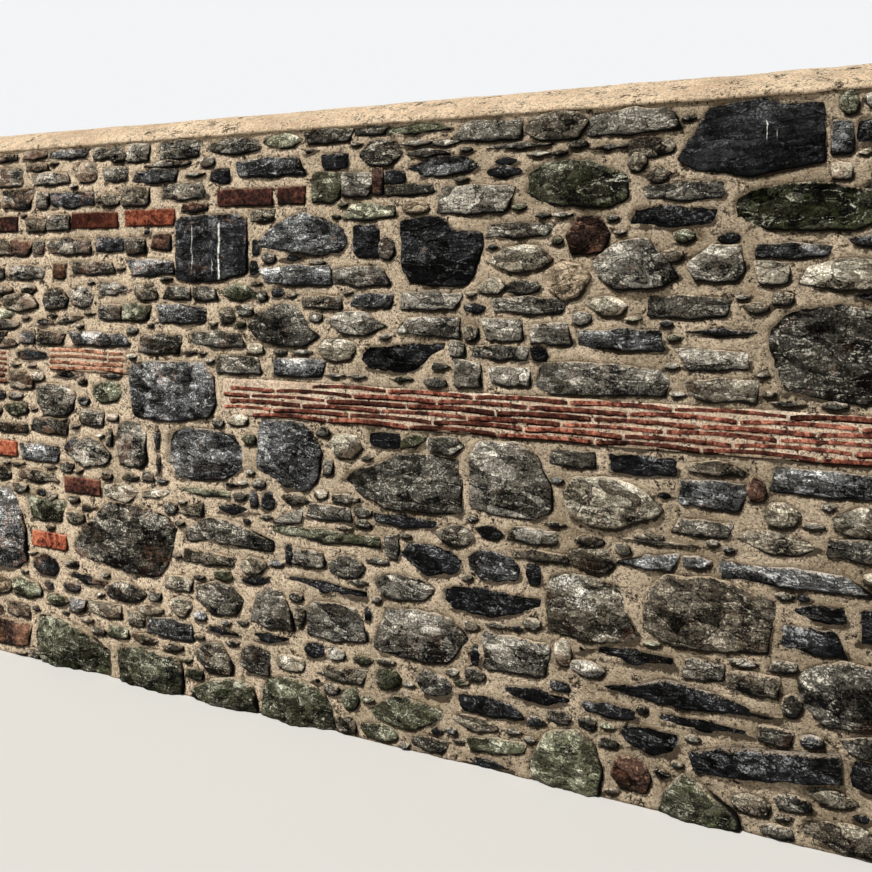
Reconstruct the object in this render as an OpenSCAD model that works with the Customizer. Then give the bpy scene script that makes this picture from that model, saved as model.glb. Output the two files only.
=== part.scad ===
// Free-standing garden wall of random rubble stone, pointed nearly flush in lime mortar,
// under a rounded mortar capping, with bands of thin clay tiles let into the face.
// X runs along the wall, -Y is the face that is seen, Z is up from the foot.

/* [Wall] */
// Length of the stretch of wall
wall_length = 4800; // [4800:50:5600]
// Thickness of the masonry between its two mortar faces
wall_thickness = 450; // [420:10:520]
// Height of the masonry, from its foot to the underside of the capping
masonry_height = 1830; // [1825:5:1900]

/* [Capping] */
// Rise of the rounded mortar above the top of the masonry
cap_rise = 100; // [60:5:140]
// Height of the upright edge along each side of the capping
cap_edge = 14; // [8:1:24]
// How far the capping laps past each face of the masonry
cap_lap = 8; // [4:1:14]

/* [Face stones] */
// How far a face stone runs back into the wall
stone_bed = 160; // [120:10:180]
// How far the split stones stand proud of the mortar
split_proud = 10; // [4:1:16]
// How far the middle of a rounded stone stands proud of the mortar
boulder_proud = 18; // [10:1:22]
// How far the stones of the foot course stand proud
foot_proud = 25; // [23:1:35]
// How far the lesser stones of the courses stand proud of the mortar
course_proud = 8; // [4:1:12]

/* [Clay tiles] */
// Length of one tile
tile_length = 265; // [250:1:270]
// Thickness of one tile
tile_thickness = 12; // [10:0.5:13]
// Rise of a tile's camber over its length
tile_camber = 6; // [2:0.5:6]
// Depth of a tile into the wall
tile_depth = 110; // [80:5:140]
// Height from one course of tiles to the next
course_pitch = 20; // [19.5:0.5:20.5]
// Upright joint between two tiles of a course
tile_joint = 9; // [5:1:12]
// Bed of mortar over and under a band's tiles
band_bed = 3; // [2:1:4]

/* [Bricks] */
// Length of a whole brick
brick_length = 215; // [200:1:216]
// Length of a brick broken short
bat_length = 170; // [150:1:180]
// Width of a brick, which is its depth into the wall and its length where it is laid end on
brick_width = 102; // [95:1:105]
// Height of a brick
brick_height = 58; // [52:1:60]

/* [Hidden] */
half_length = wall_length / 2;
half_thickness = wall_thickness / 2;
cap_width = wall_thickness + 2 * cap_lap;
// Rise of the capping's arc above its upright edges, and the radius of that arc
arc_rise = cap_rise - cap_edge;
cap_radius = (pow(cap_width / 2, 2) + pow(arc_rise, 2)) / (2 * arc_rise);
tile_pitch = tile_length + tile_joint;
// Straight steps that a tile's camber is made of
camber_steps = 6;
// Share of its outline that a split stone keeps at its proud front
front_share = 0.9;
// How far a cutting or joining shape runs on past a surface
spare = 1;
$fn = 360;

// Outlines of the large stones as the face shows them, in X and Z, anticlockwise or clockwise
slate_flagstone_edge = [[990, 1685], [1070, 1810], [1200, 1822], [1245, 1805], [1330, 1805],
    [1332, 1662], [1170, 1635], [1035, 1655]];
veined_block_edge = [[-622, 1370], [-622, 1550], [-600, 1572], [-380, 1575], [-348, 1555],
    [-343, 1392], [-430, 1370], [-550, 1360]];
black_block_edge = [[200, 1540], [260, 1553], [335, 1550], [365, 1512], [452, 1505], [455, 1465],
    [420, 1378], [400, 1358], [310, 1352], [235, 1365], [205, 1395]];
right_boulder_edge = [[1202, 1250], [1255, 1300], [1360, 1318], [1465, 1300], [1500, 1215],
    [1480, 1120], [1420, 1082], [1240, 1098], [1212, 1180]];
mossy_upper_edge = [[582, 1610], [588, 1670], [640, 1695], [760, 1690], [860, 1650], [860, 1590],
    [815, 1565], [655, 1578], [600, 1590]];
long_mossy_edge = [[1125, 1525], [1122, 1570], [1165, 1605], [1300, 1612], [1370, 1602],
    [1465, 1585], [1475, 1525], [1400, 1495], [1200, 1502]];
rough_knob_edge = [[768, 1420], [835, 1472], [910, 1480], [955, 1432], [990, 1380], [948, 1355],
    [830, 1350], [785, 1378]];
layered_grey_edge = [[-292, 1468], [-300, 1492], [-225, 1542], [-145, 1572], [-60, 1556],
    [8, 1522], [22, 1480], [-5, 1448], [-85, 1444], [-205, 1460]];
leaning_dark_edge = [[-342, 1218], [-300, 1262], [-205, 1296], [-152, 1282], [-118, 1222],
    [-80, 1198], [-130, 1165], [-205, 1165], [-285, 1175]];
black_lens_edge = [[60, 1140], [95, 1172], [240, 1184], [342, 1196], [342, 1170], [280, 1142],
    [250, 1112], [200, 1100], [100, 1100]];
long_grey_edge = [[602, 1082], [628, 1145], [700, 1152], [880, 1146], [945, 1142], [972, 1110],
    [952, 1072], [800, 1070], [662, 1060]];
band_end_edge = [[-832, 1052], [-800, 1085], [-752, 1092], [-515, 1096], [-476, 1048],
    [-462, 962], [-488, 920], [-650, 900], [-802, 900], [-822, 955]];
broad_dark_edge = [[-668, 748], [-662, 862], [-590, 882], [-400, 872], [-368, 840], [-358, 762],
    [-430, 728], [-622, 708]];
five_sided_edge = [[-290, 928], [-140, 930], [-102, 900], [-68, 840], [-90, 752], [-122, 712],
    [-205, 722], [-302, 772], [-298, 860]];
faceted_block_edge = [[-5, 762], [40, 802], [122, 822], [185, 856], [255, 866], [380, 866],
    [390, 800], [388, 702], [285, 698], [140, 700], [52, 735]];
square_grey_edge = [[420, 728], [418, 880], [445, 915], [552, 920], [612, 890], [652, 802],
    [654, 742], [612, 714], [500, 718]];
pale_boulder_edge = [[688, 800], [722, 842], [795, 850], [880, 836], [925, 806], [950, 780],
    [938, 758], [842, 722], [790, 714], [708, 732]];
left_edge_outline = [[-1582, 340], [-1600, 500], [-1522, 592], [-1385, 604], [-1342, 548],
    [-1310, 460], [-1296, 342], [-1402, 300], [-1522, 300]];
big_rubble_edge = [[-1080, 430], [-1042, 482], [-972, 542], [-920, 600], [-802, 602],
    [-662, 580], [-620, 540], [-658, 420], [-702, 368], [-802, 378], [-952, 390], [-1052, 392]];
curved_slab_edge = [[-600, 512], [-582, 552], [-490, 598], [-382, 590], [-242, 550], [-252, 512],
    [-350, 518], [-480, 528], [-552, 505]];
great_lower_edge = [[900, 470], [912, 572], [962, 612], [1090, 618], [1180, 592], [1230, 580],
    [1212, 510], [1200, 452], [1042, 440], [982, 435]];
pale_topped_edge = [[642, 500], [652, 572], [750, 580], [842, 562], [852, 505], [892, 442],
    [880, 420], [762, 410], [642, 414]];
round_lower_edge = [[1272, 400], [1292, 432], [1372, 460], [1482, 458], [1522, 382], [1480, 312],
    [1332, 302], [1290, 340]];
grey_lower_edge = [[110, 280], [152, 402], [300, 410], [362, 402], [410, 350], [372, 302],
    [340, 272], [200, 270]];
black_hollow_edge = [[332, 448], [338, 492], [400, 504], [560, 500], [625, 508], [620, 470],
    [560, 448], [500, 430], [372, 428]];
black_wedge_edge = [[730, 290], [862, 312], [962, 340], [1072, 332], [1250, 288], [1000, 282],
    [880, 280]];
foot_slab_edge = [[1015, 170], [1102, 200], [1252, 222], [1362, 240], [1370, 172], [1202, 148],
    [1052, 122], [1030, 125]];

// Outlines of stones that share a node
lesser_edges = [
    [[-1250, 980], [-1222, 992], [-1100, 992], [-1068, 960], [-1080, 910], [-1112, 884],
        [-1212, 884], [-1242, 922]],
    [[-875, 862], [-842, 884], [-782, 882], [-752, 850], [-750, 752], [-772, 732], [-862, 738],
        [-880, 800]],
    [[-1105, 752], [-1062, 790], [-1000, 820], [-950, 802], [-908, 762], [-922, 732], [-1022, 710]],
    [[-332, 285], [-302, 372], [-262, 402], [-212, 392], [-180, 330], [-170, 282], [-252, 280]],
    [[-120, 362], [-92, 386], [42, 386], [72, 352], [92, 292], [0, 280], [-112, 280]],
    [[1010, 1412], [1072, 1462], [1140, 1462], [1150, 1400], [1130, 1372], [1032, 1374]]
];
left_foot_edges = [
    [[-2100, 0], [-2092, 112], [-1980, 142], [-1800, 130], [-1772, 0]],
    [[-1252, 90], [-1242, 162], [-1182, 172], [-1082, 160], [-982, 122], [-912, 92], [-918, 0],
        [-1212, 0]],
    [[-882, 92], [-862, 112], [-782, 132], [-622, 122], [-592, 82], [-602, 0], [-862, 0]],
    [[-562, 0], [-552, 34], [-482, 72], [-402, 94], [-322, 82], [-300, 0]]
];
right_foot_edges = [
    [[-284, 0], [-282, 82], [-272, 122], [-142, 136], [-82, 122], [-38, 80], [-20, 0]],
    [[600, 0], [602, 72], [642, 142], [722, 162], [772, 132], [790, 72], [782, 0]],
    [[942, 0], [962, 62], [1002, 114], [1042, 92], [1132, 42], [1142, 0]],
    [[1542, 0], [1552, 122], [1640, 152], [1812, 132], [1842, 0]]
];
left_run_edges = [
    [[-2220, 1210], [-2210, 1350], [-2070, 1372], [-1910, 1360], [-1892, 1240], [-1970, 1192]],
    [[-1990, 770], [-1972, 930], [-1852, 962], [-1800, 940], [-1690, 820], [-1760, 752]],
    [[-2220, 420], [-2210, 590], [-2070, 622], [-1910, 590], [-1892, 470], [-2020, 402]],
    [[-1902, 1562], [-1890, 1682], [-1760, 1700], [-1612, 1682], [-1600, 1580], [-1720, 1552]]
];
right_run_edges = [
    [[1640, 1422], [1652, 1582], [1790, 1602], [1962, 1590], [1980, 1452], [1850, 1402]],
    [[1960, 1122], [1972, 1270], [2080, 1292], [2212, 1262], [2222, 1150], [2110, 1102]],
    [[1622, 552], [1640, 722], [1770, 752], [1902, 722], [1922, 592], [1800, 532]],
    [[1950, 312], [1960, 452], [2070, 482], [2210, 462], [2222, 342], [2108, 292]]
];

// The courses between the large stones, from the top down: underside, height, and where each of
// their main stones starts and ends
stone_courses = [
    [1765, 57, [[-2385, -2200], [-2185, -1990], [-1970, -1760], [-1740, -1530], [-840, -735],
        [-690, -515], [-495, -300], [365, 570], [580, 755], [765, 985], [1520, 1700], [1720, 1900],
        [1925, 2120], [2140, 2380]]],
    [1790, 32, [[-1500, -1350], [-1320, -1205], [-1195, -1000], [-285, -135], [-120, 40],
        [150, 350]]],
    [1708, 68, [[-1070, -970], [50, 210]]],
    [1698, 48, [[-2380, -2230], [-2210, -2040], [-2020, -1920], [-1500, -1320], [-1280, -1100],
        [-940, -830], [-810, -625], [-380, -130], [850, 970], [1400, 1500], [1520, 1690],
        [1710, 1890], [1915, 2060], [2080, 2200], [2225, 2385]]],
    [1620, 56, [[-2390, -2270], [-2250, -2100], [-2080, -1920], [-1585, -1445], [-1420, -1260],
        [-1190, -985], [-972, -862], [-850, -740], [-690, -500], [-100, -5], [8, 100],
        [1530, 1720], [1745, 1900], [1925, 2120], [2140, 2385]]],
    [1615, 36, [[150, 300]]],
    [1580, 44, [[900, 1100]]],
    [1560, 76, [[318, 550]]],
    [1542, 46, [[-2385, -2210], [-2190, -2030], [-2015, -1920], [-1300, -1210], [-1195, -1105],
        [-330, -245], [20, 180]]],
    [1510, 50, [[870, 1095], [1500, 1620], [2000, 2160], [2180, 2380]]],
    [1490, 40, [[475, 660]]],
    [1450, 54, [[-2390, -2240], [-2220, -2070], [-2050, -1880], [-1860, -1700], [-1680, -1515],
        [-1500, -1388], [-1372, -1280], [-1210, -1000], [-980, -852], [-838, -755], [-730, -650],
        [2000, 2170], [2190, 2385]]],
    [1445, 82, [[45, 130]]],
    [1430, 36, [[1180, 1350], [1480, 1620]]],
    [1395, 66, [[485, 660]]],
    [1388, 48, [[-2385, -2260], [-2240, -2080], [-2060, -1900], [-1875, -1690], [-1670, -1500],
        [-1090, -890], [-840, -640]]],
    [1358, 54, [[-1400, -1205], [-1170, -1110], [-290, -35], [-22, 160], [665, 755],
        [1180, 1260], [1280, 1480]]],
    [1345, 46, [[1520, 1700], [1720, 1900], [1920, 2100], [2120, 2380]]],
    [1298, 42, [[-2390, -2240], [-1870, -1720], [-1700, -1540], [-1520, -1425], [-800, -705],
        [-675, -570], [-550, -460], [-440, -315], [2240, 2385]]],
    [1282, 44, [[-135, 0], [35, 170], [200, 390], [480, 690], [750, 860], [910, 1120],
        [1520, 1700], [1720, 1930]]],
    [1262, 62, [[-1410, -1250], [-1220, -1110], [-1090, -985]]],
    [1226, 54, [[-960, -862], [-848, -730], [-700, -500]]],
    [1206, 54, [[-2385, -2240], [-1870, -1690], [-1670, -1520], [-50, 150], [190, 385],
        [455, 570], [600, 710], [730, 955], [1520, 1690], [1710, 1935]]],
    [1148, 44, [[420, 585], [985, 1160]]],
    [1138, 46, [[-1110, -830], [-570, -355]]],
    [1128, 52, [[-2390, -2200], [-2180, -2000], [-1980, -1800], [-1780, -1600], [-1580, -1400],
        [-1250, -1130], [-780, -605], [-80, 45], [1520, 1700], [1720, 1930]]],
    [1068, 52, [[-460, -290], [-250, -60], [370, 450], [475, 590], [1010, 1180], [1510, 1690],
        [1710, 1930]]],
    [1042, 50, [[-2385, -2250], [-2230, -2040], [-2020, -1800], [2160, 2385]]],
    [968, 50, [[-2390, -2200], [-2180, -2010], [-1990, -1890], [-1375, -1270], [2160, 2385]]],
    [946, 60, [[-990, -860]]],
    [892, 52, [[-2385, -2220], [-2200, -2010], [-1670, -1500], [2150, 2385]]],
    [876, 44, [[90, 195], [285, 395], [650, 775], [805, 985]]],
    [866, 48, [[-1410, -1300], [-1040, -935], [1210, 1490], [1510, 1690], [1710, 1900],
        [1925, 2110]]],
    [833, 64, [[-40, 70]]],
    [806, 48, [[-2390, -2250], [-2230, -2020], [-1670, -1520], [-1500, -1300], [-1280, -1100],
        [1000, 1155], [1510, 1700], [1720, 1900], [1925, 2120], [2140, 2385]]],
    [770, 54, [[1200, 1285], [1350, 1480]]],
    [724, 48, [[-2385, -2200], [-2180, -2010], [-1325, -1145], [985, 1115], [1940, 2110],
        [2130, 2385]]],
    [706, 48, [[1130, 1320], [1340, 1500]]],
    [650, 50, [[-2390, -2220], [-2200, -1990], [-1970, -1790], [-1765, -1580], [1480, 1600],
        [1940, 2110], [2130, 2385]]],
    [632, 42, [[-1345, -1150], [-925, -790], [-765, -650], [-120, 35], [305, 430], [530, 670],
        [700, 820], [840, 990], [1100, 1430]]],
    [573, 36, [[-235, 130]]],
    [545, 52, [[-2385, -2240], [-1870, -1700], [-1685, -1620], [1260, 1385], [1940, 2120],
        [2140, 2385]]],
    [520, 80, [[200, 390], [410, 560], [1410, 1600]]],
    [505, 80, [[-1290, -1110]]],
    [482, 52, [[-2390, -2235], [-1875, -1710], [-170, -60], [-45, 85], [1245, 1380]]],
    [442, 58, [[105, 310]]],
    [438, 44, [[-590, -385], [-360, -275]]],
    [410, 42, [[-215, 90]]],
    [396, 52, [[-2385, -2240], [-1880, -1720], [-1700, -1620], [1550, 1740], [1760, 1925]]],
    [356, 40, [[775, 985], [1005, 1095], [1115, 1230]]],
    [312, 62, [[-2390, -2200], [-2180, -2000], [-1980, -1800], [-1780, -1620], [-1265, -1150],
        [1550, 1740], [1760, 1930]]],
    [288, 92, [[-540, -365], [450, 630]]],
    [278, 52, [[-930, -750]]],
    [250, 36, [[1380, 1500]]],
    [225, 50, [[-2385, -2180], [-2160, -1960], [-1940, -1760], [-1740, -1560], [-1500, -1380],
        [-1365, -1230], [1540, 1740], [1760, 1940], [1960, 2150], [2170, 2385]]],
    [232, 26, [[930, 1165]]],
    [216, 32, [[510, 720], [740, 880]]],
    [204, 46, [[-1085, -1022], [-1008, -860], [-830, -765]]],
    [180, 56, [[-745, -560], [120, 200], [250, 360]]],
    [165, 42, [[1500, 1700], [1720, 1920], [1940, 2150], [2170, 2385]]],
    [152, 46, [[-2385, -2130], [-2110, -1920], [-1900, -1720], [-1700, -1540], [-1410, -1290],
        [-230, -130], [-90, 90], [380, 580], [840, 985]]],
    [132, 68, [[-370, -265]]],
    [106, 84, [[-550, -405]]],
    [112, 32, [[1295, 1400]]],
    [66, 74, [[100, 335]]],
    [44, 76, [[410, 580], [820, 920]]],
    [60, 34, [[1155, 1240]]],
    [30, 84, [[-2385, -2120], [-1750, -1560], [-1500, -1280], [1870, 2080], [2100, 2385]]],
    [24, 70, [[1270, 1500]]]
];

// Every outline of the seen face, which the unseen face repeats
face_edges = concat([slate_flagstone_edge, veined_block_edge, black_block_edge,
    right_boulder_edge, mossy_upper_edge, long_mossy_edge, rough_knob_edge, layered_grey_edge,
    leaning_dark_edge, black_lens_edge, long_grey_edge, band_end_edge, broad_dark_edge,
    five_sided_edge, faceted_block_edge, square_grey_edge, pale_boulder_edge, left_edge_outline,
    big_rubble_edge, curved_slab_edge, great_lower_edge, pale_topped_edge, round_lower_edge,
    grey_lower_edge, black_hollow_edge, black_wedge_edge, foot_slab_edge], lesser_edges,
    left_foot_edges, right_foot_edges, left_run_edges, right_run_edges);

// Blocks that close an end: lowest Y, highest Y, lowest Z and highest Z of each
end_blocks = [[-180, 60, 0, 170], [-120, 190, 230, 400], [-190, 100, 450, 590],
    [-60, 185, 650, 860], [-185, 40, 920, 1060], [-150, 180, 1120, 1270], [-190, 60, 1330, 1500],
    [-90, 180, 1560, 1740]];

// Each course of a band, from the top: where one of its tiles starts, and its lowest and highest X
long_courses = [[160, -100, 2130], [45, -405, 2130], [225, -430, 2130], [139, -405, 2130],
    [32, -430, 2130], [-44, -350, 2130]];
short_courses = [[-1188, -1188, -850], [-1188, -1188, -845], [-990, -1188, -850],
    [-1104, -1188, -850]];
left_courses = [[-1670, -1760, -1400], [-1720, -1760, -1400], [-1660, -1760, -1402],
    [-1730, -1760, -1400], [-1675, -1760, -1404], [-1720, -1760, -1400]];
long_band_top = 1056;
short_band_top = 1126;
left_band_top = 1108;

// Left end, underside and length of each brick
red_brick_places = [[-1088, 1541, brick_length], [-845, 1545, brick_length],
    [-1275, 406, bat_length], [-1560, 718, brick_length]];
dark_brick_places = [[-460, 1600, brick_length], [-228, 1601, brick_width],
    [-1560, 1536, brick_length], [-1120, 616, bat_length]];

// A prism on an outline of the face, from one distance in front of the mortar to one behind it
module face_prism(edge, front, back) {
    translate([0, back - half_thickness, 0])
        rotate([90, 0, 0]) linear_extrude(front + back) polygon(edge);
}

// Outline of one stone of a course: its box with every corner out of true and one knocked off
function course_edge(ends, foot, height) = let (
    least = min(height, ends[1] - ends[0]),
    off = least * rands(0.01, 0.12, 8, ends[0] + foot),
    knock = least * rands(0.15, 0.4, 2, ends[1] + foot),
    flip = rands(0, 1, 1, ends[1])[0] > 0.5,
    left = flip ? ends[1] : ends[0],
    way = flip ? -1 : 1,
    length = ends[1] - ends[0])
    [[left + way * off[0], foot + off[1]], [left + way * (length - off[2]), foot + off[3]],
     [left + way * (length - off[4]), foot + height - knock[0]],
     [left + way * (length - off[4] - knock[1]), foot + height - off[5]],
     [left + way * off[6], foot + height - off[7]]];

// The lesser stones of the courses, on the seen face and turned about on the other
module course_stones() {
    for (turn = [0, 180], course = stone_courses, ends = course[2]) rotate([0, 0, turn])
        face_prism(course_edge(ends, course[0], course[1]), course_proud, spare);
}

function middle(edge) = [for (axis = [0, 1]) (min([for (p = edge) p[axis]])
    + max([for (p = edge) p[axis]])) / 2];

// The proud front of a split stone, whose arrises are knocked back
module knocked_front(edge, proud) {
    centre = middle(edge);
    hull() {
        face_prism(edge, 0.5, 0.5);
        face_prism([for (p = edge) centre + front_share * (p - centre)], proud, 0);
    }
}

// A stone split along its bed: a flat front with knocked arrises
module split_stone(edge, proud = split_proud) {
    face_prism(edge, 0, stone_bed);
    knocked_front(edge, proud);
}

// A field stone: its front swells out to a shallow dome
module boulder(edge, proud = boulder_proud) {
    centre = middle(edge);
    reach = max([for (p = edge) norm(p - centre)]);
    dome = (pow(reach, 2) + pow(proud, 2)) / (2 * proud);
    intersection() {
        face_prism(edge, proud + spare, stone_bed);
        translate([centre[0], dome - proud - half_thickness, centre[1]]) sphere(dome);
    }
}

// One cambered tile on its bed, from its left end: its edge as the face shows it
module tile(length) {
    crown = tile_camber * pow(length / tile_length, 2);
    under = [for (i = [0 : camber_steps]) let (t = i / camber_steps)
        [t * length, 4 * crown * t * (1 - t)]];
    polygon(concat(under, [for (i = [camber_steps : -1 : 0]) under[i] + [0, tile_thickness]]));
}

// Tiles of one course, cut to the stretch that the course fills
module tile_course(start, low, high) {
    first = floor((low - start) / tile_pitch);
    last = ceil((high - start) / tile_pitch);
    for (i = [first : last]) {
        left = max(low, start + i * tile_pitch);
        right = min(high, start + i * tile_pitch + tile_length);
        if (right - left > tile_length / 8) translate([left, 0]) tile(right - left);
    }
}

module tile_band(courses, top) {
    rotate([90, 0, 0]) translate([0, 0, half_thickness - tile_depth]) linear_extrude(tile_depth)
        for (i = [0 : len(courses) - 1])
            translate([0, top - band_bed - tile_camber - tile_thickness - i * course_pitch])
                tile_course(courses[i][0], courses[i][1], courses[i][2]);
}

// The block of mortar that a band is laid in
module band_block(courses, top) {
    low = min([for (c = courses) c[1]]) - tile_joint;
    high = max([for (c = courses) c[2]]) + tile_joint;
    height = (len(courses) - 1) * course_pitch + tile_thickness + tile_camber + 2 * band_bed;
    translate([low, -half_thickness, top - height]) cube([high - low, tile_depth, height]);
}

module band_bedding(courses, top) {
    difference() {
        band_block(courses, top);
        tile_band(courses, top);
    }
}

module brick(place) {
    translate([place[0], -half_thickness - split_proud / 2, place[1]])
        cube([place[2], brick_width, brick_height]);
}

module end_block(block, reach) {
    translate([half_length - stone_bed, block[0], block[2]])
        cube([stone_bed + reach, block[1] - block[0], block[3] - block[2]]);
}

module masonry() {
    color("#bfa780") difference() {
        union() {
            translate([-half_length, -half_thickness, 0])
                cube([wall_length, wall_thickness, masonry_height]);
            course_stones();
        }
        for (turn = [0, 180], edge = face_edges)
            rotate([0, 0, turn]) face_prism(edge, spare, stone_bed);
        for (turn = [0, 180], block = end_blocks) rotate([0, 0, turn]) end_block(block, spare);
        band_block(long_courses, long_band_top);
        band_block(short_courses, short_band_top);
        band_block(left_courses, left_band_top);
        for (place = concat(red_brick_places, dark_brick_places)) brick(place);
    }
}

module capping() {
    color("#e0bf93") translate([-half_length, 0, masonry_height])
        rotate([90, 0, 90]) linear_extrude(wall_length) {
            translate([-cap_width / 2, 0]) square([cap_width, cap_edge]);
            intersection() {
                translate([0, cap_rise - cap_radius]) circle(cap_radius);
                translate([-cap_width / 2, cap_edge]) square([cap_width, cap_rise]);
            }
        }
}

module long_band_tiles() { color("#7d3a2a") tile_band(long_courses, long_band_top); }
module long_band_bedding() { color("#d9a98a") band_bedding(long_courses, long_band_top); }
module short_band_tiles() { color("#8a4632") tile_band(short_courses, short_band_top); }
module short_band_bedding() { color("#d9b58f") band_bedding(short_courses, short_band_top); }
module left_band_tiles() { color("#7d3a2a") tile_band(left_courses, left_band_top); }
module left_band_bedding() { color("#d9b58f") band_bedding(left_courses, left_band_top); }

module red_bricks() { color("#b5502e") for (place = red_brick_places) brick(place); }
module dark_bricks() { color("#4a2b22") for (place = dark_brick_places) brick(place); }

module slate_flagstone() { color("#3c3f45") split_stone(slate_flagstone_edge); }
module veined_block() { color("#45484c") split_stone(veined_block_edge); }
module black_block() { color("#232529") split_stone(black_block_edge); }
module right_boulder() { color("#4a4c4a") boulder(right_boulder_edge); }
module mossy_upper_stone() { color("#3f4535") boulder(mossy_upper_edge); }
module long_mossy_stone() { color("#363a2c") boulder(long_mossy_edge); }
module rough_knob_stone() { color("#6f6a5e") boulder(rough_knob_edge, foot_proud - spare); }
module layered_grey_stone() { color("#5c5f61") split_stone(layered_grey_edge); }
module leaning_dark_stone() { color("#47494b") split_stone(leaning_dark_edge); }
module black_lens_stone() { color("#1c1d1f") split_stone(black_lens_edge); }
module long_grey_stone() { color("#55585b") boulder(long_grey_edge); }
module band_end_block() { color("#5d6063") split_stone(band_end_edge, boulder_proud); }
module broad_dark_stone() { color("#4a4d50") boulder(broad_dark_edge); }
module five_sided_stone() { color("#4d5156") boulder(five_sided_edge); }
module faceted_block() { color("#5a564e") split_stone(faceted_block_edge, boulder_proud); }
module square_grey_block() { color("#6a6d68") split_stone(square_grey_edge); }
module pale_boulder() { color("#857d6b") boulder(pale_boulder_edge, foot_proud - spare); }
module left_edge_boulder() { color("#565b60") boulder(left_edge_outline); }
module big_rubble_block() { color("#45474a") boulder(big_rubble_edge); }
module curved_slab() { color("#4c4e50") split_stone(curved_slab_edge); }
module great_lower_block() { color("#57554d") split_stone(great_lower_edge, boulder_proud); }
module pale_topped_stone() { color("#8d8778") split_stone(pale_topped_edge, boulder_proud); }
module round_lower_boulder() { color("#3f4143") boulder(round_lower_edge); }
module grey_lower_block() { color("#626564") split_stone(grey_lower_edge); }
module black_hollow_slab() { color("#26282b") split_stone(black_hollow_edge); }
module long_black_wedge() { color("#2b2d2f") split_stone(black_wedge_edge, boulder_proud); }
module long_foot_slab() { color("#33363a") split_stone(foot_slab_edge, foot_proud - spare); }

module lesser_stones() { color("#5d6062") for (edge = lesser_edges) split_stone(edge); }

module left_foot_stones() {
    color("#46503a") for (edge = left_foot_edges) split_stone(edge, foot_proud);
}

module right_foot_stones() {
    color("#454c3c") for (edge = right_foot_edges) split_stone(edge, foot_proud);
}

module left_run_stones() { color("#505356") for (edge = left_run_edges) split_stone(edge); }
module right_run_stones() { color("#505356") for (edge = right_run_edges) split_stone(edge); }

// The unseen face repeats the seen one, and its foot course stands as proud
module back_stones() {
    foot = concat(left_foot_edges, right_foot_edges);
    color("#55585a") rotate([0, 0, 180]) {
        for (edge = face_edges) face_prism(edge, split_proud, stone_bed);
        for (edge = foot) face_prism(edge, foot_proud, 0);
    }
}

module right_end_stones() { color("#505356") for (block = end_blocks) end_block(block, 0); }
module left_end_stones() { color("#505356") rotate([0, 0, 180]) for (b = end_blocks) end_block(b, 0); }

masonry();
capping();
long_band_tiles();
long_band_bedding();
short_band_tiles();
short_band_bedding();
left_band_tiles();
left_band_bedding();
red_bricks();
dark_bricks();
slate_flagstone();
veined_block();
black_block();
right_boulder();
mossy_upper_stone();
long_mossy_stone();
rough_knob_stone();
layered_grey_stone();
leaning_dark_stone();
black_lens_stone();
long_grey_stone();
band_end_block();
broad_dark_stone();
five_sided_stone();
faceted_block();
square_grey_block();
pale_boulder();
left_edge_boulder();
big_rubble_block();
curved_slab();
great_lower_block();
pale_topped_stone();
round_lower_boulder();
grey_lower_block();
black_hollow_slab();
long_black_wedge();
long_foot_slab();
lesser_stones();
left_foot_stones();
right_foot_stones();
left_run_stones();
right_run_stones();
back_stones();
left_end_stones();
right_end_stones();
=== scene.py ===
"""Dresses the rubble stone garden wall: mortar, stones, tiles, bricks and the rounded capping."""

import logging
import math
from collections.abc import Callable
from dataclasses import dataclass, field, replace
from enum import Enum

import bmesh
import bpy
import numpy as np
from mathutils import Matrix, Vector


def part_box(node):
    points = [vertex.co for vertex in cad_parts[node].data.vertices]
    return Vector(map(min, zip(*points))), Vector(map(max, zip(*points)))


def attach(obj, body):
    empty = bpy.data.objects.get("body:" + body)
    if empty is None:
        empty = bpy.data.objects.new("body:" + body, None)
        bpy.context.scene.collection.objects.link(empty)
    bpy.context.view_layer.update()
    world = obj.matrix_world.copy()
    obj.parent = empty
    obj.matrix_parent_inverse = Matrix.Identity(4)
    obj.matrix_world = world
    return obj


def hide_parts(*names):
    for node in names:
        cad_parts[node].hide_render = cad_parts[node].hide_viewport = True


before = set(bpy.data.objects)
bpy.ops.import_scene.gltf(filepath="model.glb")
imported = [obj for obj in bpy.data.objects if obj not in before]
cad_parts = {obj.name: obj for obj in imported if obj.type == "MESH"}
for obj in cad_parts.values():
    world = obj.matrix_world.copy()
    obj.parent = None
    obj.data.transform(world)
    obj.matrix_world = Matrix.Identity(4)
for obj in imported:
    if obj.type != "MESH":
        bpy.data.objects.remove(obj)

logging.basicConfig(level=logging.INFO, format="%(message)s")
log = logging.getLogger("wall")

Colour = tuple[float, float, float]
# Left, right, bottom and top of something on a side, in metres
Box = tuple[float, float, float, float]

# Sizes of the CAD model, in metres
HALF_LENGTH = 2.4
HALF_THICKNESS = 0.225
MOST_OUT = 0.25
MASONRY_HEIGHT = 1.83
STONE_BED = 0.16
COURSE_PROUD = 0.008

# The stretch that the photograph shows, and the cells of the meshes there and elsewhere
SEEN_LOW, SEEN_HIGH = -1.47, 1.47
FRONT_CELL, LARGE_CELL, BEDDING_CELL, BRICK_CELL = 0.0062, 0.0065, 0.009, 0.006
UNSEEN_CELL, BACK_CELL, LARGE_BACK_CELL, END_CELL = 0.012, 0.021, 0.018, 0.016
FRONT_MORTAR_CELL, RUN_MORTAR_CELL, BACK_MORTAR_CELL, END_MORTAR_CELL = 0.0098, 0.024, 0.026, 0.018

# How far each kind of piece runs back from the face
SMALL_DEEP, LARGE_DEEP, BEDDING_DEEP, BRICK_DEEP = 0.06, 0.12, 0.1, 0.09
CM = 0.01


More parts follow.
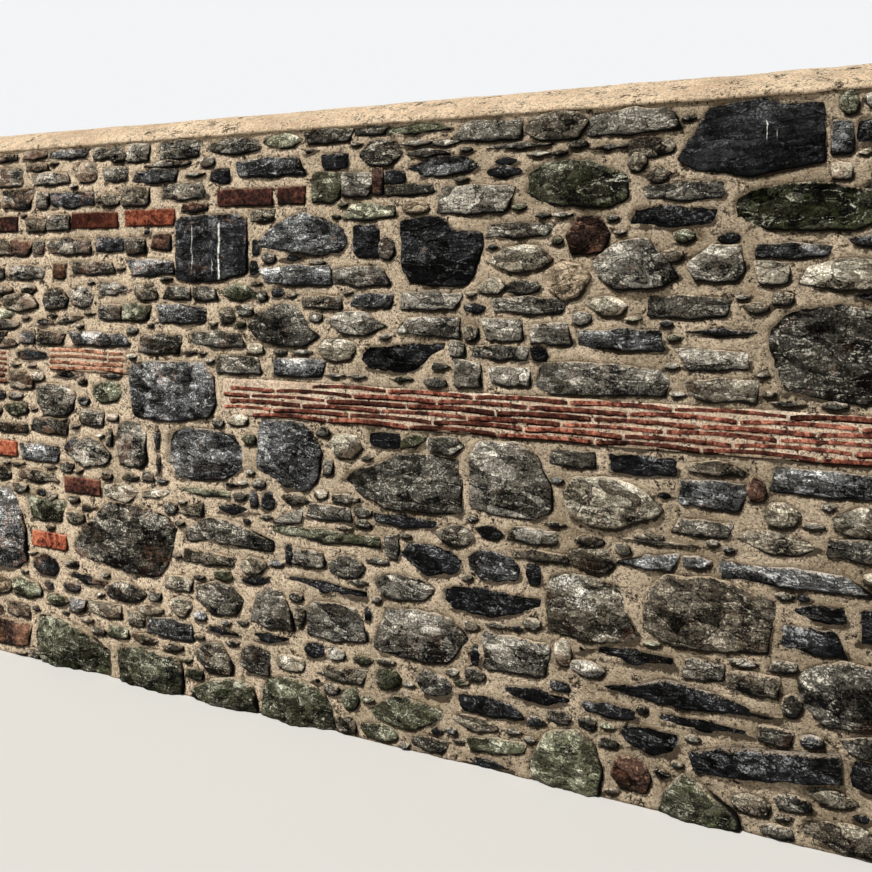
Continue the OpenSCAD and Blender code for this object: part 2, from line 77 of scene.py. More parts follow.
def tone(red: int, green: int, blue: int) -> Colour:
    """A paint chart's 0 to 255 values as the linear colour that a shader takes."""
    parts = [value / 255 for value in (red, green, blue)]
    return tuple(p / 12.92 if p <= 0.04045 else ((p + 0.055) / 1.055) ** 2.4 for p in parts)


def dimmed(colour: Colour, share: float) -> Colour:
    """A colour at a share of its light."""
    return tuple(part * share for part in colour)


def eased(value: np.ndarray, low: float, high: float) -> np.ndarray:
    """0 below low, 1 above high, and a smooth rise between."""
    t = np.clip((value - low) / (high - low), 0.0, 1.0)
    return t * t * (3 - 2 * t)


class Relief:
    """Seeded gradient noise over points in space, for every surface that is carved here."""

    # Cells until it repeats, shift between two octaves, and what brings it to about -1 to 1
    PERIOD, SHIFT, SPREAD = 256, 31.7, 1.7

    def __init__(self, seed: int) -> None:
        """Draws the lattice of the noise.

        Args:
            seed: Seed of its order and slopes.
        """
        rng = np.random.default_rng(seed)
        self.order = rng.permutation(self.PERIOD)
        ways = rng.normal(size=(self.PERIOD, 3))
        self.ways = ways / np.linalg.norm(ways, axis=1, keepdims=True)

    def single(self, points: np.ndarray) -> np.ndarray:
        """One octave of noise.

        Args:
            points: Places, measured in lattice cells.

        Returns:
            One height per place.
        """
        cell = np.floor(points).astype(int)
        part = points - cell
        fade = part ** 3 * (part * (part * 6 - 15) + 10)
        total = np.zeros(len(points))
        for corner in np.ndindex(2, 2, 2):
            at = (cell + corner) % self.PERIOD
            index = self.order[at[:, 0]]
            for axis in (1, 2):
                index = self.order[(index + at[:, axis]) % self.PERIOD]
            slope = (self.ways[index] * (part - corner)).sum(axis=1)
            share = np.where(np.array(corner) == 1, fade, 1 - fade).prod(axis=1)
            total += share * slope
        return total

    def at(self, points: np.ndarray, size: float, octaves: int = 1) -> np.ndarray:
        """Noise of about -1 to 1.

        Args:
            points: Places, one row of X, Y and Z each.
            size: Width of the largest bumps, in metres.
            octaves: How many times finer bumps are laid over them.

        Returns:
            One height per place.
        """
        total, gain, whole = np.zeros(len(points)), 1.0, 0.0
        for octave in range(octaves):
            total += gain * self.single(points / size * 2 ** octave + self.SHIFT * octave)
            whole += gain
            gain *= 0.5
        return total / whole * self.SPREAD


RELIEF = Relief(7)


def on_face(spots: np.ndarray, layer: float, stretch: float = 1.0) -> np.ndarray:
    """Places for the noise from spots on a face.

    Args:
        spots: Rows of distance along the face and height.
        layer: Which sheet of the noise is read, so that two stones differ.
        stretch: How many times longer the bumps are along the face than upright.

    Returns:
        Rows of X, Y and Z.
    """
    return np.column_stack([spots[:, 0] / stretch, np.full(len(spots), layer), spots[:, 1]])


class Side(Enum):
    """A side of the wall: its turn about the upright axis, and how far out it lies."""

    FRONT = (0.0, HALF_THICKNESS)
    BACK = (math.pi, HALF_THICKNESS)
    LEFT_END = (-math.pi / 2, HALF_LENGTH)
    RIGHT_END = (math.pi / 2, HALF_LENGTH)

    @property
    def turn(self) -> float:
        """Angle from the seen face, in radians."""
        return self.value[0]

    @property
    def reach(self) -> float:
        """Distance of the side from the middle of the wall."""
        return self.value[1]


# The exponent from which a form is squared, and the directions in which an outline has a radius
SQUARED_FROM = 4.5
OUTLINE_STEPS = 180
OUTLINE_ANGLES = np.arange(OUTLINE_STEPS) * 2 * math.pi / OUTLINE_STEPS
OUTLINE_WAYS = np.column_stack([np.cos(OUTLINE_ANGLES), np.sin(OUTLINE_ANGLES)])


@dataclass
class Outline:
    """The edge of a stone on its face, as a radius for each direction from its middle."""

    middle: np.ndarray
    half: np.ndarray
    radius: np.ndarray

    @classmethod
    def through(cls, points: np.ndarray) -> "Outline":
        """The outline that passes through the corners of a polygon.

        Args:
            points: The corners in order, one row each.

        Returns:
            The outline.
        """
        low, high = points.min(axis=0), points.max(axis=0)
        middle, half = (low + high) / 2, (high - low) / 2
        start = (points - middle) / half
        along = np.roll(start, -1, axis=0) - start
        ray = OUTLINE_WAYS[:, None]
        across = ray[..., 0] * along[:, 1] - ray[..., 1] * along[:, 0]
        across = np.where(np.abs(across) < 1e-9, 1e-9, across)
        reach = (start[:, 0] * along[:, 1] - start[:, 1] * along[:, 0]) / across
        share = (start[:, 0] * ray[..., 1] - start[:, 1] * ray[..., 0]) / across
        hit = (share > -1e-6) & (share < 1 + 1e-6) & (reach > 0)
        return cls(middle, half, np.where(hit, reach, 0.0).max(axis=1))

    @classmethod
    def boxed(cls, low: Vector, high: Vector) -> "Outline":
        """The outline of a block of the CAD model, from its lowest and highest corner."""
        return cls.through(np.array([(low.x, low.z), (high.x, low.z), (high.x, high.z),
                                     (low.x, high.z)]))

    @classmethod
    def of_form(cls, box: Box, cut: "Cut", rise: float, rng: np.random.Generator) -> "Outline":
        """An outline of a named form in a box.

        Args:
            box: Left, right, bottom and top, in metres.
            cut: The form's own values.
            rise: How much higher the right end lies than the left, in metres.
            rng: Source of the small differences between two stones of a form.

        Returns:
            The outline, which fills the box.
        """
        x0, x1, z0, z1 = box
        if cut.exponent >= SQUARED_FROM:
            u, w = cls.squared((x1 - x0) / 2, (z1 - z0) / 2, cut, rng).T
        else:
            count = int(rng.integers(6, 9))
            turn = (np.arange(count) + rng.uniform(-0.28, 0.28, count)) * 2 * math.pi / count
            c, s = np.cos(turn), np.sin(turn)
            # float_power, unlike **, gives the same last digit wherever an array is in memory
            powers = np.float_power(np.abs([c, s]), cut.exponent)
            reach = np.float_power(powers.sum(axis=0), -1 / cut.exponent)
            reach = reach * rng.uniform(0.8, 1.0, count)
            u, w = reach * c, reach * s
        w = w * (1 - cut.taper * u) + rise / (z1 - z0) * u * 1.6
        lean, spread, slant = rng.uniform(-0.14, 0.14, 3) * (0.4 if cut.taper else 1.0)
        u, w = u * (1 + spread * w) + lean * w, w * (1 + slant * u)
        u, w = ((p - (p.max() + p.min()) / 2) / (p.max() - p.min()) * 2 for p in (u, w))
        return cls.through(np.column_stack([(x0 + x1) / 2 + u * (x1 - x0) / 2,
                                            (z0 + z1) / 2 + w * (z1 - z0) / 2]))

    @staticmethod
    def squared(width: float, height: float, cut: "Cut", rng: np.random.Generator) -> np.ndarray:
        """Corners of a roughly squared stone, which has its corners knocked off.

        Args:
            width: Half its width, in metres.
            height: Half its height.
            cut: The form's own values.
            rng: Source of the differences.

        Returns:
            Corners in the square from -1 to 1.
        """
        small = min(width, height)
        points = []
        for sx, sz in ((1, 1), (-1, 1), (-1, -1), (1, -1)):
            off = rng.uniform(0.03, 0.55, 2) * small * min(1.0, 8 / cut.exponent)
            first = (sx * (width - off[0]), sz * height)
            second = (sx * width, sz * (height - off[1]))
            points += [second, first] if sx * sz > 0 else [first, second]
            across = sx * sz > 0
            run = width if across else height
            for share in np.linspace(0.5, -0.5, max(1, round(run / 0.03))):
                inward = rng.uniform(0, 0.2) * small * min(1.0, 7 / cut.exponent)
                if across:
                    points.append((sx * share * width, sz * (height - inward)))
                else:
                    points.append((sx * (width - inward), sz * share * height))
        return np.array(points) / (width, height)

    def worn(self, layer: float, coarse: float, fine: float, grow: float = 0.0) -> "Outline":
        """The outline with its corners rubbed and its edge made uneven.

        Args:
            layer: Sheet of the noise to read.
            coarse: Height of bumps about 35 mm wide, in metres.
            fine: Height of bumps about 11 mm wide, in metres.
            grow: How far the whole edge moves out, in metres.

        Returns:
            The new outline.
        """
        radius = (np.roll(self.radius, 1) + 2 * self.radius + np.roll(self.radius, -1)) / 4
        edge = OUTLINE_WAYS * self.half * radius[:, None]
        length = np.maximum(np.linalg.norm(edge, axis=1), 1e-4)
        places = on_face(edge + self.middle, layer)
        least = min(self.half)
        shift = RELIEF.at(places, 0.035) * min(coarse, 0.2 * least)
        shift += RELIEF.at(places, 0.011, 3) * min(fine, 0.16 * least) + grow
        return Outline(self.middle, self.half, radius * (length + shift) / length)

    def reach_at(self, angle: np.ndarray) -> np.ndarray:
        """Radius in each direction.

        Args:
            angle: The directions, in radians.

        Returns:
            Radii, read between the steps of the table.
        """
        spot = np.mod(angle, 2 * math.pi) / (2 * math.pi) * OUTLINE_STEPS
        low = spot.astype(int) % OUTLINE_STEPS
        part = spot - np.floor(spot)
        return self.radius[low] * (1 - part) + self.radius[(low + 1) % OUTLINE_STEPS] * part

    def edge(self) -> np.ndarray:
        """Points of the edge, in metres on the face."""
        return self.middle + OUTLINE_WAYS * self.half * self.radius[:, None]

    def place(self, square: np.ndarray) -> np.ndarray:
        """Spreads a square over the stone.

        Args:
            square: Spots of the square.

        Returns:
            Spots on the stone, in metres.
        """
        level = np.abs(square).max(axis=1)
        angle = np.arctan2(square[:, 1], square[:, 0])
        way = np.column_stack([np.cos(angle), np.sin(angle)])
        return self.middle + way * self.half * (level * self.reach_at(angle))[:, None]

    def level(self, spots: np.ndarray) -> np.ndarray:
        """0 at the middle, 1 on the edge, and more outside."""
        part = (spots - self.middle) / self.half
        return np.hypot(*part.T) / self.reach_at(np.arctan2(part[:, 1], part[:, 0]))

    def depth(self, spots: np.ndarray) -> np.ndarray:
        """How far in each spot lies.

        Args:
            spots: Places on the face.

        Returns:
            Distances from the edge, positive inside, in metres.
        """
        start = self.edge().astype(np.float32)
        ax, az = (np.roll(start, -1, axis=0) - start).T
        near = spots.astype(np.float32)
        x, z = near[:, :1] - start[:, 0], near[:, 1:] - start[:, 1]
        share = np.clip((x * ax + z * az) / np.maximum(ax * ax + az * az, 1e-12), 0, 1)
        x -= share * ax
        z -= share * az
        far = np.sqrt((x * x + z * z).min(axis=1))
        return np.where(self.level(spots) < 1, far, -far)


@dataclass(frozen=True)
class Cut:
    """How a stone's outline and front are worked, with lengths in metres.

    The outline is squarer the higher the exponent is, and narrows by the taper. The front has a
    rounded rim, a dome, split facets with a slope, and layers and roughness of some height.
    """

    exponent: float
    rim: float
    dome: float
    facets: int
    slope: float
    layers: float
    rough: float
    taper: float = 0.0


class Form(Enum):
    """The forms that the small stones of the wall take."""

    BLOCK = Cut(7.0, 0.0035, 0.0010, 4, 0.18, 0.0014, 0.0042)
    SLAB = Cut(5.0, 0.003, 0.0005, 3, 0.14, 0.0026, 0.0034)
    LUMP = Cut(3.4, 0.005, 0.0030, 5, 0.32, 0.0010, 0.0048)
    COBBLE = Cut(2.7, 0.010, 0.0050, 2, 0.10, 0.0000, 0.0030)
    LENS = Cut(2.62, 0.0035, 0.0010, 2, 0.20, 0.0024, 0.0030)
    FLAKE = Cut(2.6, 0.003, 0.0000, 0, 0.00, 0.0010, 0.0016)
    UPRIGHT = Cut(5.2, 0.003, 0.0005, 2, 0.20, 0.0005, 0.0030)
    WEDGE_RIGHT = Cut(5.0, 0.003, 0.0005, 3, 0.18, 0.0020, 0.0034, 0.75)
    WEDGE_LEFT = Cut(5.0, 0.003, 0.0005, 3, 0.18, 0.0020, 0.0034, -0.75)
    BRICK = Cut(14.0, 0.005, 0.0000, 1, 0.03, 0.0000, 0.0012)
    BED = Cut(16.0, 0.010, 0.0000, 0, 0.00, 0.0000, 0.0010)


BLOCK, SLAB, LUMP, COBBLE, LENS, FLAKE, UPRIGHT, WEDGE_RIGHT, WEDGE_LEFT, BRICK, BED = Form


class Flow:
    """A value, vector or colour on its way through a material's nodes."""

    def __init__(self, sheet: "Sheet", socket: bpy.types.NodeSocket) -> None:
        """Wraps an output of a node on a sheet."""
        self.sheet = sheet
        self.socket = socket

    def math(self, operation: str, first: "Flow | float", second: "Flow | float") -> "Flow":
        """A Math node on two values."""
        return self.sheet.add("ShaderNodeMath", {"operation": operation}, {0: first, 1: second})

    def __add__(self, other: "Flow | float") -> "Flow":
        """Sum of two values."""
        return self.math("ADD", self, other)

    def __radd__(self, other: float) -> "Flow":
        """Sum with a plain number on the left."""
        return self.math("ADD", other, self)

    def __sub__(self, other: "Flow | float") -> "Flow":
        """Difference of two values."""
        return self.math("SUBTRACT", self, other)

    def __rsub__(self, other: float) -> "Flow":
        """Difference from a plain number."""
        return self.math("SUBTRACT", other, self)

    def __mul__(self, other: "Flow | float") -> "Flow":
        """Product of two values."""
        return self.math("MULTIPLY", self, other)

    def __rmul__(self, other: float) -> "Flow":
        """Product with a plain number on the left."""
        return self.math("MULTIPLY", other, self)

    def __truediv__(self, other: "Flow | float") -> "Flow":
        """Quotient of two values."""
        return self.math("DIVIDE", self, other)

    def __abs__(self) -> "Flow":
        """Size of a value without its sign."""
        return self.math("ABSOLUTE", self, 0.0)

    def most(self, other: "Flow | float") -> "Flow":
        """The greater of two values."""
        return self.math("MAXIMUM", self, other)

    def eased(self, low: float, high: float) -> "Flow":
        """0 below low, 1 above high, smooth between."""
        return self.sheet.add("ShaderNodeMapRange", {"interpolation_type": "SMOOTHSTEP"},
                              {"Value": self, "From Min": low, "From Max": high})

    def pick(self, off: "Flow | Colour", on: "Flow | Colour") -> "Flow":
        """Colour that goes from off to on as this value goes from 0 to 1."""
        return self.sheet.add("ShaderNodeMix", {"data_type": "RGBA"}, {0: self, 6: off, 7: on}, 2)

    def scaled(self, factor: "Flow | float") -> "Flow":
        """This colour or vector times a value."""
        return self.sheet.add("ShaderNodeVectorMath", {"operation": "SCALE"},
                              {"Vector": self, "Scale": factor})

    def moved(self, other: "Flow") -> "Flow":
        """This vector plus another."""
        return self.sheet.add("ShaderNodeVectorMath", {"operation": "ADD"}, {0: self, 1: other})

    def less(self, other: "Flow | Colour") -> "Flow":
        """This vector minus another."""
        return self.sheet.add("ShaderNodeVectorMath", {"operation": "SUBTRACT"},
                              {0: self, 1: other})

    def along(self, other: "Flow") -> "Flow":
        """How far this vector goes along another."""
        return self.sheet.add("ShaderNodeVectorMath", {"operation": "DOT_PRODUCT"},
                              {0: self, 1: other}, "Value")

    def part(self, axis: int) -> "Flow":
        """One part of this vector or colour."""
        return self.sheet.add("ShaderNodeSeparateXYZ", {}, {0: self}, axis)


class Sheet:
    """The node tree of one material, or of the world."""

    def __init__(self, owner: bpy.types.Material | bpy.types.World) -> None:
        """Takes a material or a world and clears its nodes.

        Args:
            owner: The material or the world.
        """
        self.owner = owner
        owner.use_nodes = True
        self.tree = owner.node_tree
        self.tree.nodes.clear()

    def add(self, kind: str, settings: dict[str, object], inputs: dict[int | str, object],
            output: int | str = 0) -> Flow:
        """Adds any node.

        Args:
            kind: The node's type.
            settings: Its own properties, which are set first.
            inputs: A value or a flow for each socket that isn't left alone.
            output: The socket that is handed back.

        Returns:
            The flow out of that socket.
        """
        node = self.tree.nodes.new(kind)
        for key, value in settings.items():
            setattr(node, key, value)
        for key, value in inputs.items():
            socket = node.inputs[key]
            if isinstance(value, Flow):
                self.tree.links.new(value.socket, socket)
            elif isinstance(value, tuple) and len(value) == 3 and socket.type == "RGBA":
                socket.default_value = (*value, 1.0)
            else:
                socket.default_value = value
        return Flow(self, node.outputs[output])

    def place(self) -> Flow:
        """Place on the object, in metres."""
        return self.add("ShaderNodeTexCoord", {}, {}, "Object")

    def own(self, name: str) -> Flow:
        """A value that the mesh carries."""
        return self.add("ShaderNodeAttribute", {"attribute_name": name}, {}, "Fac")

    def stretched(self, place: Flow, scale: tuple[float, float, float]) -> Flow:
        """A place with each axis scaled."""
        return self.add("ShaderNodeMapping", {}, {"Vector": place, "Scale": scale})

    def noise(self, place: Flow, per_metre: float, detail: float = 4.0, rough: float = 0.55,
              warp: float = 0.0) -> Flow:
        """Soft noise of 0 to 1, with so many bumps to the metre."""
        return self.add("ShaderNodeTexNoise", {}, {"Vector": place, "Scale": per_metre,
                        "Detail": detail, "Roughness": rough, "Distortion": warp})

    def warped(self, place: Flow, per_metre: float, reach: float) -> Flow:
        """Moves a place about by smooth noise.

        Args:
            place: The place.
            per_metre: Waves to the metre.
            reach: About twice the most that it moves, in metres.

        Returns:
            The moved place.
        """
        way = self.add("ShaderNodeTexNoise", {}, {"Vector": place, "Scale": per_metre,
                                                  "Detail": 2.0}, "Color")
        return place.moved(way.less((0.5, 0.5, 0.5)).scaled(reach))

    def planes(self, place: Flow, per_metre: float) -> Flow:
        """A surface broken into flat facets, each with its own lean.

        Args:
            place: The place.
            per_metre: Facets to the metre.

        Returns:
            Its height, in metres.
        """
        centre = self.cells(place, per_metre, "F1", "Position")
        lean = self.cells(place, per_metre, "F1", "Color").less((0.5, 0.5, 0.5))
        return place.less(centre).along(lean)

    def cells(self, place: Flow, per_metre: float, feature: str = "F1",
              output: str = "Distance") -> Flow:
        """Cells of random size, with so many to the metre."""
        return self.add("ShaderNodeTexVoronoi", {"feature": feature},
                        {"Vector": place, "Scale": per_metre}, output)

    def surface(self, colour: Flow, rough: Flow | float, height: Flow,
                bump: float) -> bpy.types.Material:
        """Ends the material.

        Args:
            colour: Base colour.
            rough: Roughness.
            height: Height of the fine relief, 0 to 1.
            bump: What a height of 1 stands for, in metres.

        Returns:
            The material.
        """
        normal = self.add("ShaderNodeBump", {}, {"Strength": 1.0, "Distance": bump,
                                                 "Height": height})
        shader = self.add("ShaderNodeBsdfPrincipled", {}, {
            "Base Color": colour, "Roughness": rough, "Normal": normal,
            "Specular IOR Level": 0.06})
        return self.shown(shader)

    def shown(self, shader: Flow, kind: str = "Material") -> bpy.types.Material | bpy.types.World:
        """Links a shader to the output.

        Args:
            shader: The shader.
            kind: Material or World.

        Returns:
            What the sheet belongs to.
        """
        node = self.tree.nodes.new("ShaderNodeOutput" + kind)
        self.tree.links.new(shader.socket, node.inputs["Surface"])
        return self.owner


class StoneGrain:
    """What the mesh and the noises say at each point of a stone."""

    # How many large and small facets go to the metre
    FACETS, CHIPS = 17.0, 48.0

    def __init__(self, s: Sheet) -> None:
        """Adds the nodes that every stone's material starts from.

        Args:
            s: The sheet of the stone's material.
        """
        self.s = s
        self.place = s.place()
        # A stone's relief value also carries painted light, raised on its side towards the light
        self.tint, self.rim, self.lift, self.worn = map(s.own, ("tint", "rim", "lift", "worn"))
        self.left = 1 - self.place.part(0).eased(-1.4, 0.3)
        shift = {0: self.tint * 3.1, 1: self.tint * 7.7, 2: self.tint * 5.3}
        self.spot = self.place.moved(s.add("ShaderNodeCombineXYZ", {}, shift))
        self.ragged = s.warped(s.stretched(self.spot, (0.75, 1.0, 1.3)), 60.0, 0.014)
        self.bent = s.warped(s.stretched(self.spot, (0.7, 1.0, 1.4)), 22.0, 0.03)
        self.broad = s.noise(self.spot, 11.0, 4.0) - 0.5
        self.mottle = s.noise(self.spot, 64.0, 7.0, 0.72, 0.5) - 0.5
        self.grit = s.noise(self.spot, 190.0, 4.0, 0.8) - 0.5
        self.beds = s.noise(s.stretched(self.spot, (0.5, 1.0, 2.4)), 46.0, 6.0, 0.68, 0.8) - 0.5
        self.bands = s.noise(s.stretched(self.ragged, (0.45, 1.0, 1.2)), 17.0, 2.0, 0.4) - 0.5
        self.facet = s.cells(self.bent, self.FACETS, "F1", "Color").part(0) - 0.5
        self.chip = s.cells(self.ragged, self.CHIPS, "F1", "Color").part(0) - 0.5
        self.edge = s.cells(self.bent, self.FACETS, "DISTANCE_TO_EDGE")
        self.split = 1 - self.edge.eased(0.0, 0.03)


@dataclass(frozen=True)
class Vein:
    """A white vein down a stone: where it lies, how far it runs, its width and its gaps."""

    x: float
    low: float
    high: float
    width: float
    torn: float = 0.0

    def drawn(self, g: StoneGrain, colour: Flow) -> Flow:
        """Draws the vein over a stone's colour.

        Args:
            g: The stone's grain.
            colour: Its colour so far.

        Returns:
            The new colour.
        """
        x, z = g.place.part(0), g.place.part(2)
        wander = (g.s.noise(g.place, 26.0, 4.0) - 0.5) * 0.02
        line = 1 - abs(x + wander - self.x).eased(self.width * 0.35, self.width)
        run = z.eased(self.low, self.low + 0.02) * (1 - z.eased(self.high - 0.02, self.high))
        broken = (g.mottle * (1 + self.torn) + g.grit * 2 - self.torn).eased(-0.28, -0.12)
        return (line * run * broken).pick(colour, tone(226, 224, 214))


@dataclass(frozen=True)
class StoneFinish:
    """The finish of one kind of stone."""

    name: str
    slot: str
    dark: Colour
    middle: Colour
    light: Colour
    streak: float = 0.3
    speck: float = 0.5
    moss: float = 0.0
    rust: float = 0.0
    smear: float = 0.5
    rough: float = 0.8
    bump: float = 0.014
    veins: tuple[Vein, ...] = ()

    @property
    def pit(self) -> Colour:
        """Colour of the pits and hairs, and of the painted shade and shadow lines at the rim."""
        return dimmed(self.dark, 0.12)

    def build(self) -> bpy.types.Material:
        """Makes the material, which reads tint, rim, lift and worn from the mesh.

        Returns:
            The material.
        """
        g = StoneGrain(Sheet(bpy.data.materials.new(self.name)))
        colour = self.grown(g, self.lined(g, self.ground(g)))
        for vein in self.veins:
            colour = vein.drawn(g, colour)
        colour = self.rimmed(g, colour)
        height = (g.mottle * 0.4 + g.grit * 0.15 + g.beds * self.streak * 0.4 - g.split * 0.1
                  + (g.s.planes(g.bent, g.FACETS) * 1.8 + g.s.planes(g.ragged, g.CHIPS) * 1.2)
                  / self.bump)
        return g.s.surface(colour, self.rough + g.grit * 0.5, height, self.bump)

    def ground(self, g: StoneGrain) -> Flow:
        """The stone's colours from its pits to its pale spots, with each facet and chip lighter or
        darker, partly its own tone and partly painted light on facets turned towards and away from
        the light, lighter where the relief stands out, and lighter on the side towards the light as
        painted light.

        Args:
            g: The stone's grain.

        Returns:
            The colour.
        """
        body = (g.mottle * 0.38 + g.grit * 1.05 + g.broad * 0.5 + g.facet * 0.1 + g.chip * 0.07
                + g.worn * 0.1 + g.beds * self.streak) * (1 + g.left * 0.3)
        colour = body.eased(-0.2, -0.11).pick(self.pit, self.dark)
        colour = body.eased(-0.14, 0.03).pick(colour, self.middle)
        colour = (body.eased(0.1, 0.2) * self.speck).pick(colour, self.light)
        # Facets and chips one by one lighter or darker, partly their own tone and partly painted
        # light; the relief value adds painted light on the side towards the light
        shade = (1 + g.tint * 0.4 + g.facet * 0.42 + g.chip * 0.36 + g.grit * 0.7
                 + g.worn * 0.2)
        return colour.scaled(shade * (1 + g.left * 0.32))

    def lined(self, g: StoneGrain, colour: Flow) -> Flow:
        """Dark hairs, painted highlight streaks beside them, painted highlights along the facets'
        edges, and splits.

        Args:
            g: The stone's grain.
            colour: Its colour so far.

        Returns:
            The new colour.
        """
        fine = g.grit * 2 + g.mottle
        hair = (1 - abs(g.bands).eased(0.003, 0.012)) * fine.eased(-0.25, 0.05)
        colour = (hair * (0.5 + self.streak)).pick(colour, self.pit)
        # Painted highlight streaks beside the hairs
        shine = (1 - abs(g.bands - 0.035).eased(0.003, 0.016)) * fine.eased(-0.05, 0.15)
        colour = (shine * self.speck * 0.9).pick(colour, self.light)
        # Painted highlights along the facets' edges
        glint = g.edge.eased(0.03, 0.05) * (1 - g.edge.eased(0.07, 0.11))
        glint = glint * (g.mottle * 2 + g.grit * 2 + g.chip * 0.4).eased(0.16, 0.34)
        colour = (glint * self.speck * 0.6).pick(colour, self.light)
        broken = (g.split + g.grit * 2 + g.mottle * 2).eased(0.7, 0.95) * 0.92
        return broken.pick(colour, self.pit)

    def grown(self, g: StoneGrain, colour: Flow) -> Flow:
        """Mortar stains, rust and moss.

        Args:
            g: The stone's grain.
            colour: Its colour so far.

        Returns:
            The new colour.
        """
        if not self.moss:
            stain = (g.left * 0.5 + g.mottle * 2.0 + g.broad * 2.4).eased(0.45, 0.8) * 0.5
            colour = stain.pick(colour, tone(124, 88, 64))
        if self.rust:
            patches = (g.s.noise(g.spot, 17.0, 5.0, 0.65) + g.grit * 0.4).eased(0.55, 0.68)
            colour = (patches * self.rust).pick(colour, tone(112, 66, 38))
        if self.moss:
            patches = (g.s.noise(g.place, 21.0, 6.0, 0.7) + g.grit * 0.5).eased(0.46, 0.6)
            colour = (patches * self.moss).pick(colour, tone(76, 80, 50))
        return colour

    def rimmed(self, g: StoneGrain, colour: Flow) -> Flow:
        """Painted light on the upper edge, mortar smeared over the rim, painted shade below and a
        painted shadow line round the rim.

        Args:
            g: The stone's grain.
            colour: Its colour so far.

        Returns:
            The new colour.
        """
        # Painted highlight along the rim on the side towards the light
        edge_lit = (g.lift + g.grit * 2 + g.mottle).eased(0.5, 0.85) * 0.6 * self.speck
        colour = edge_lit.pick(colour, self.light)
        dusty = g.rim + g.grit * 2.4 + g.mottle * 2.4 + g.lift * 0.2 + g.left * 0.2
        dusty = dusty.eased(0.6, 0.84) * (g.left * 0.25 + self.smear)
        colour = dusty.pick(colour, tone(176, 154, 126))
        # Painted shade along the rim on the side away from the light
        shaded = (g.grit * 1.2 + g.mottle * 1.2 - g.lift).eased(0.26, 0.42) * 0.95
        colour = shaded.pick(colour, self.pit)
        # Painted shadow line all round the rim, thinner on the side towards the light
        painted_rim_shadow = g.rim + g.grit * 0.8 - g.lift.eased(0.0, 0.6) * 0.3 + g.mottle * 0.6
        return (painted_rim_shadow.eased(0.58, 0.72) * 0.92).pick(colour, self.pit)


@dataclass(frozen=True)
class MortarFinish:
    """Lime mortar with sand and fine gravel in it."""

    name: str
    slot: str
    pale: Colour
    middle: Colour
    brown: Colour
    grit: float = 0.5
    weathered: float = 0.0
    drift: bool = True
    bump: float = 0.011
    coarse: float = 4.3

    def build(self) -> bpy.types.Material:
        """Makes the material, which reads seam, under and worn from the mesh.

        Returns:
            The material.
        """
        s = Sheet(bpy.data.materials.new(self.name))
        place, seam, under, worn = s.place(), s.own("seam"), s.own("under"), s.own("worn")
        broad = s.noise(place, 5.0, 4.0, 0.6) - 0.5
        patch = s.noise(place, 24.0, 6.0, 0.7, 0.4) - 0.5
        sand = s.noise(place, 110.0, 6.0, 0.8) - 0.5
        grain = s.cells(place, 300.0, "F1", "Color").part(0)
        stone = s.cells(place, 90.0, "F1", "Color").part(1)
        body = broad * 0.6 + patch * 0.6 + sand * 0.5 - worn * 0.07
        glow = 1.0
        if self.drift:
            x, z = place.part(0), place.part(2)
            glow = 1.19 - x.eased(-1.2, 0.3) * 0.19 - x.eased(0.2, 1.3) * 0.08
            body = body + x.eased(-0.9, 1.7) * 0.12 + (1 - z.eased(0.0, 0.9)) * 0.02 - 0.08
        colour = body.eased(-0.14, 0.12).pick(self.pale, self.middle)
        colour = (body + sand * 0.5).eased(0.02, 0.26).pick(colour, self.brown)
        rough = 0.98 + sand * self.coarse + patch * 1.3 + (grain - 0.5) * 0.4
        colour = colour.scaled(rough * glow)
        shadow = dimmed(self.brown, 0.2)
        bent = s.warped(s.stretched(place, (0.7, 1.0, 1.3)), 50.0, 0.02)
        cracks = 1 - abs(s.noise(bent, 26.0, 3.0, 0.5) - 0.5).eased(0.004, 0.016)
        cracks = cracks * (sand * 3 + patch * 2).eased(-0.2, 0.2)
        colour = (cracks * self.grit * 1.3).pick(colour, shadow)
        dark_grit = (1 - grain.eased(0.06, 0.14)) * self.grit
        colour = dark_grit.pick(colour, shadow)
        pale_grit = grain.eased(0.93, 0.98) * self.grit * 0.7
        colour = pale_grit.pick(colour, tuple(min(1.0, c * 1.25) for c in self.pale))
        pebble = stone.eased(0.94, 0.96) * (1 - s.cells(place, 90.0).eased(0.25, 0.42)) * self.grit
        colour = pebble.pick(colour, tone(96, 84, 68))
        pitted = (patch * 1.4 + sand * 1.4 + worn * 0.1 + broad * 0.4).eased(-0.26, -0.1)
        colour = pitted.pick(dimmed(self.brown, 0.16), colour)
        if self.weathered:
            grey = (s.noise(place, 9.0, 6.0, 0.7) - 0.5 + sand * 0.5).eased(0.03, 0.13)
            colour = (grey * self.weathered).pick(colour, tone(118, 102, 82))
        # Painted shadow below and beside the stones, a little all round them, and along the
        # capping's lower edge
        painted_shadow = (seam * 0.15 + under * 0.74 + patch * 1.5 + sand * 1.4).eased(0.44, 0.58)
        colour = (painted_shadow * 0.9).pick(colour, dimmed(self.brown, 0.14))
        return s.surface(colour, 0.92, patch * 1.6 + sand * 1.8 + grain * 0.25, self.bump)


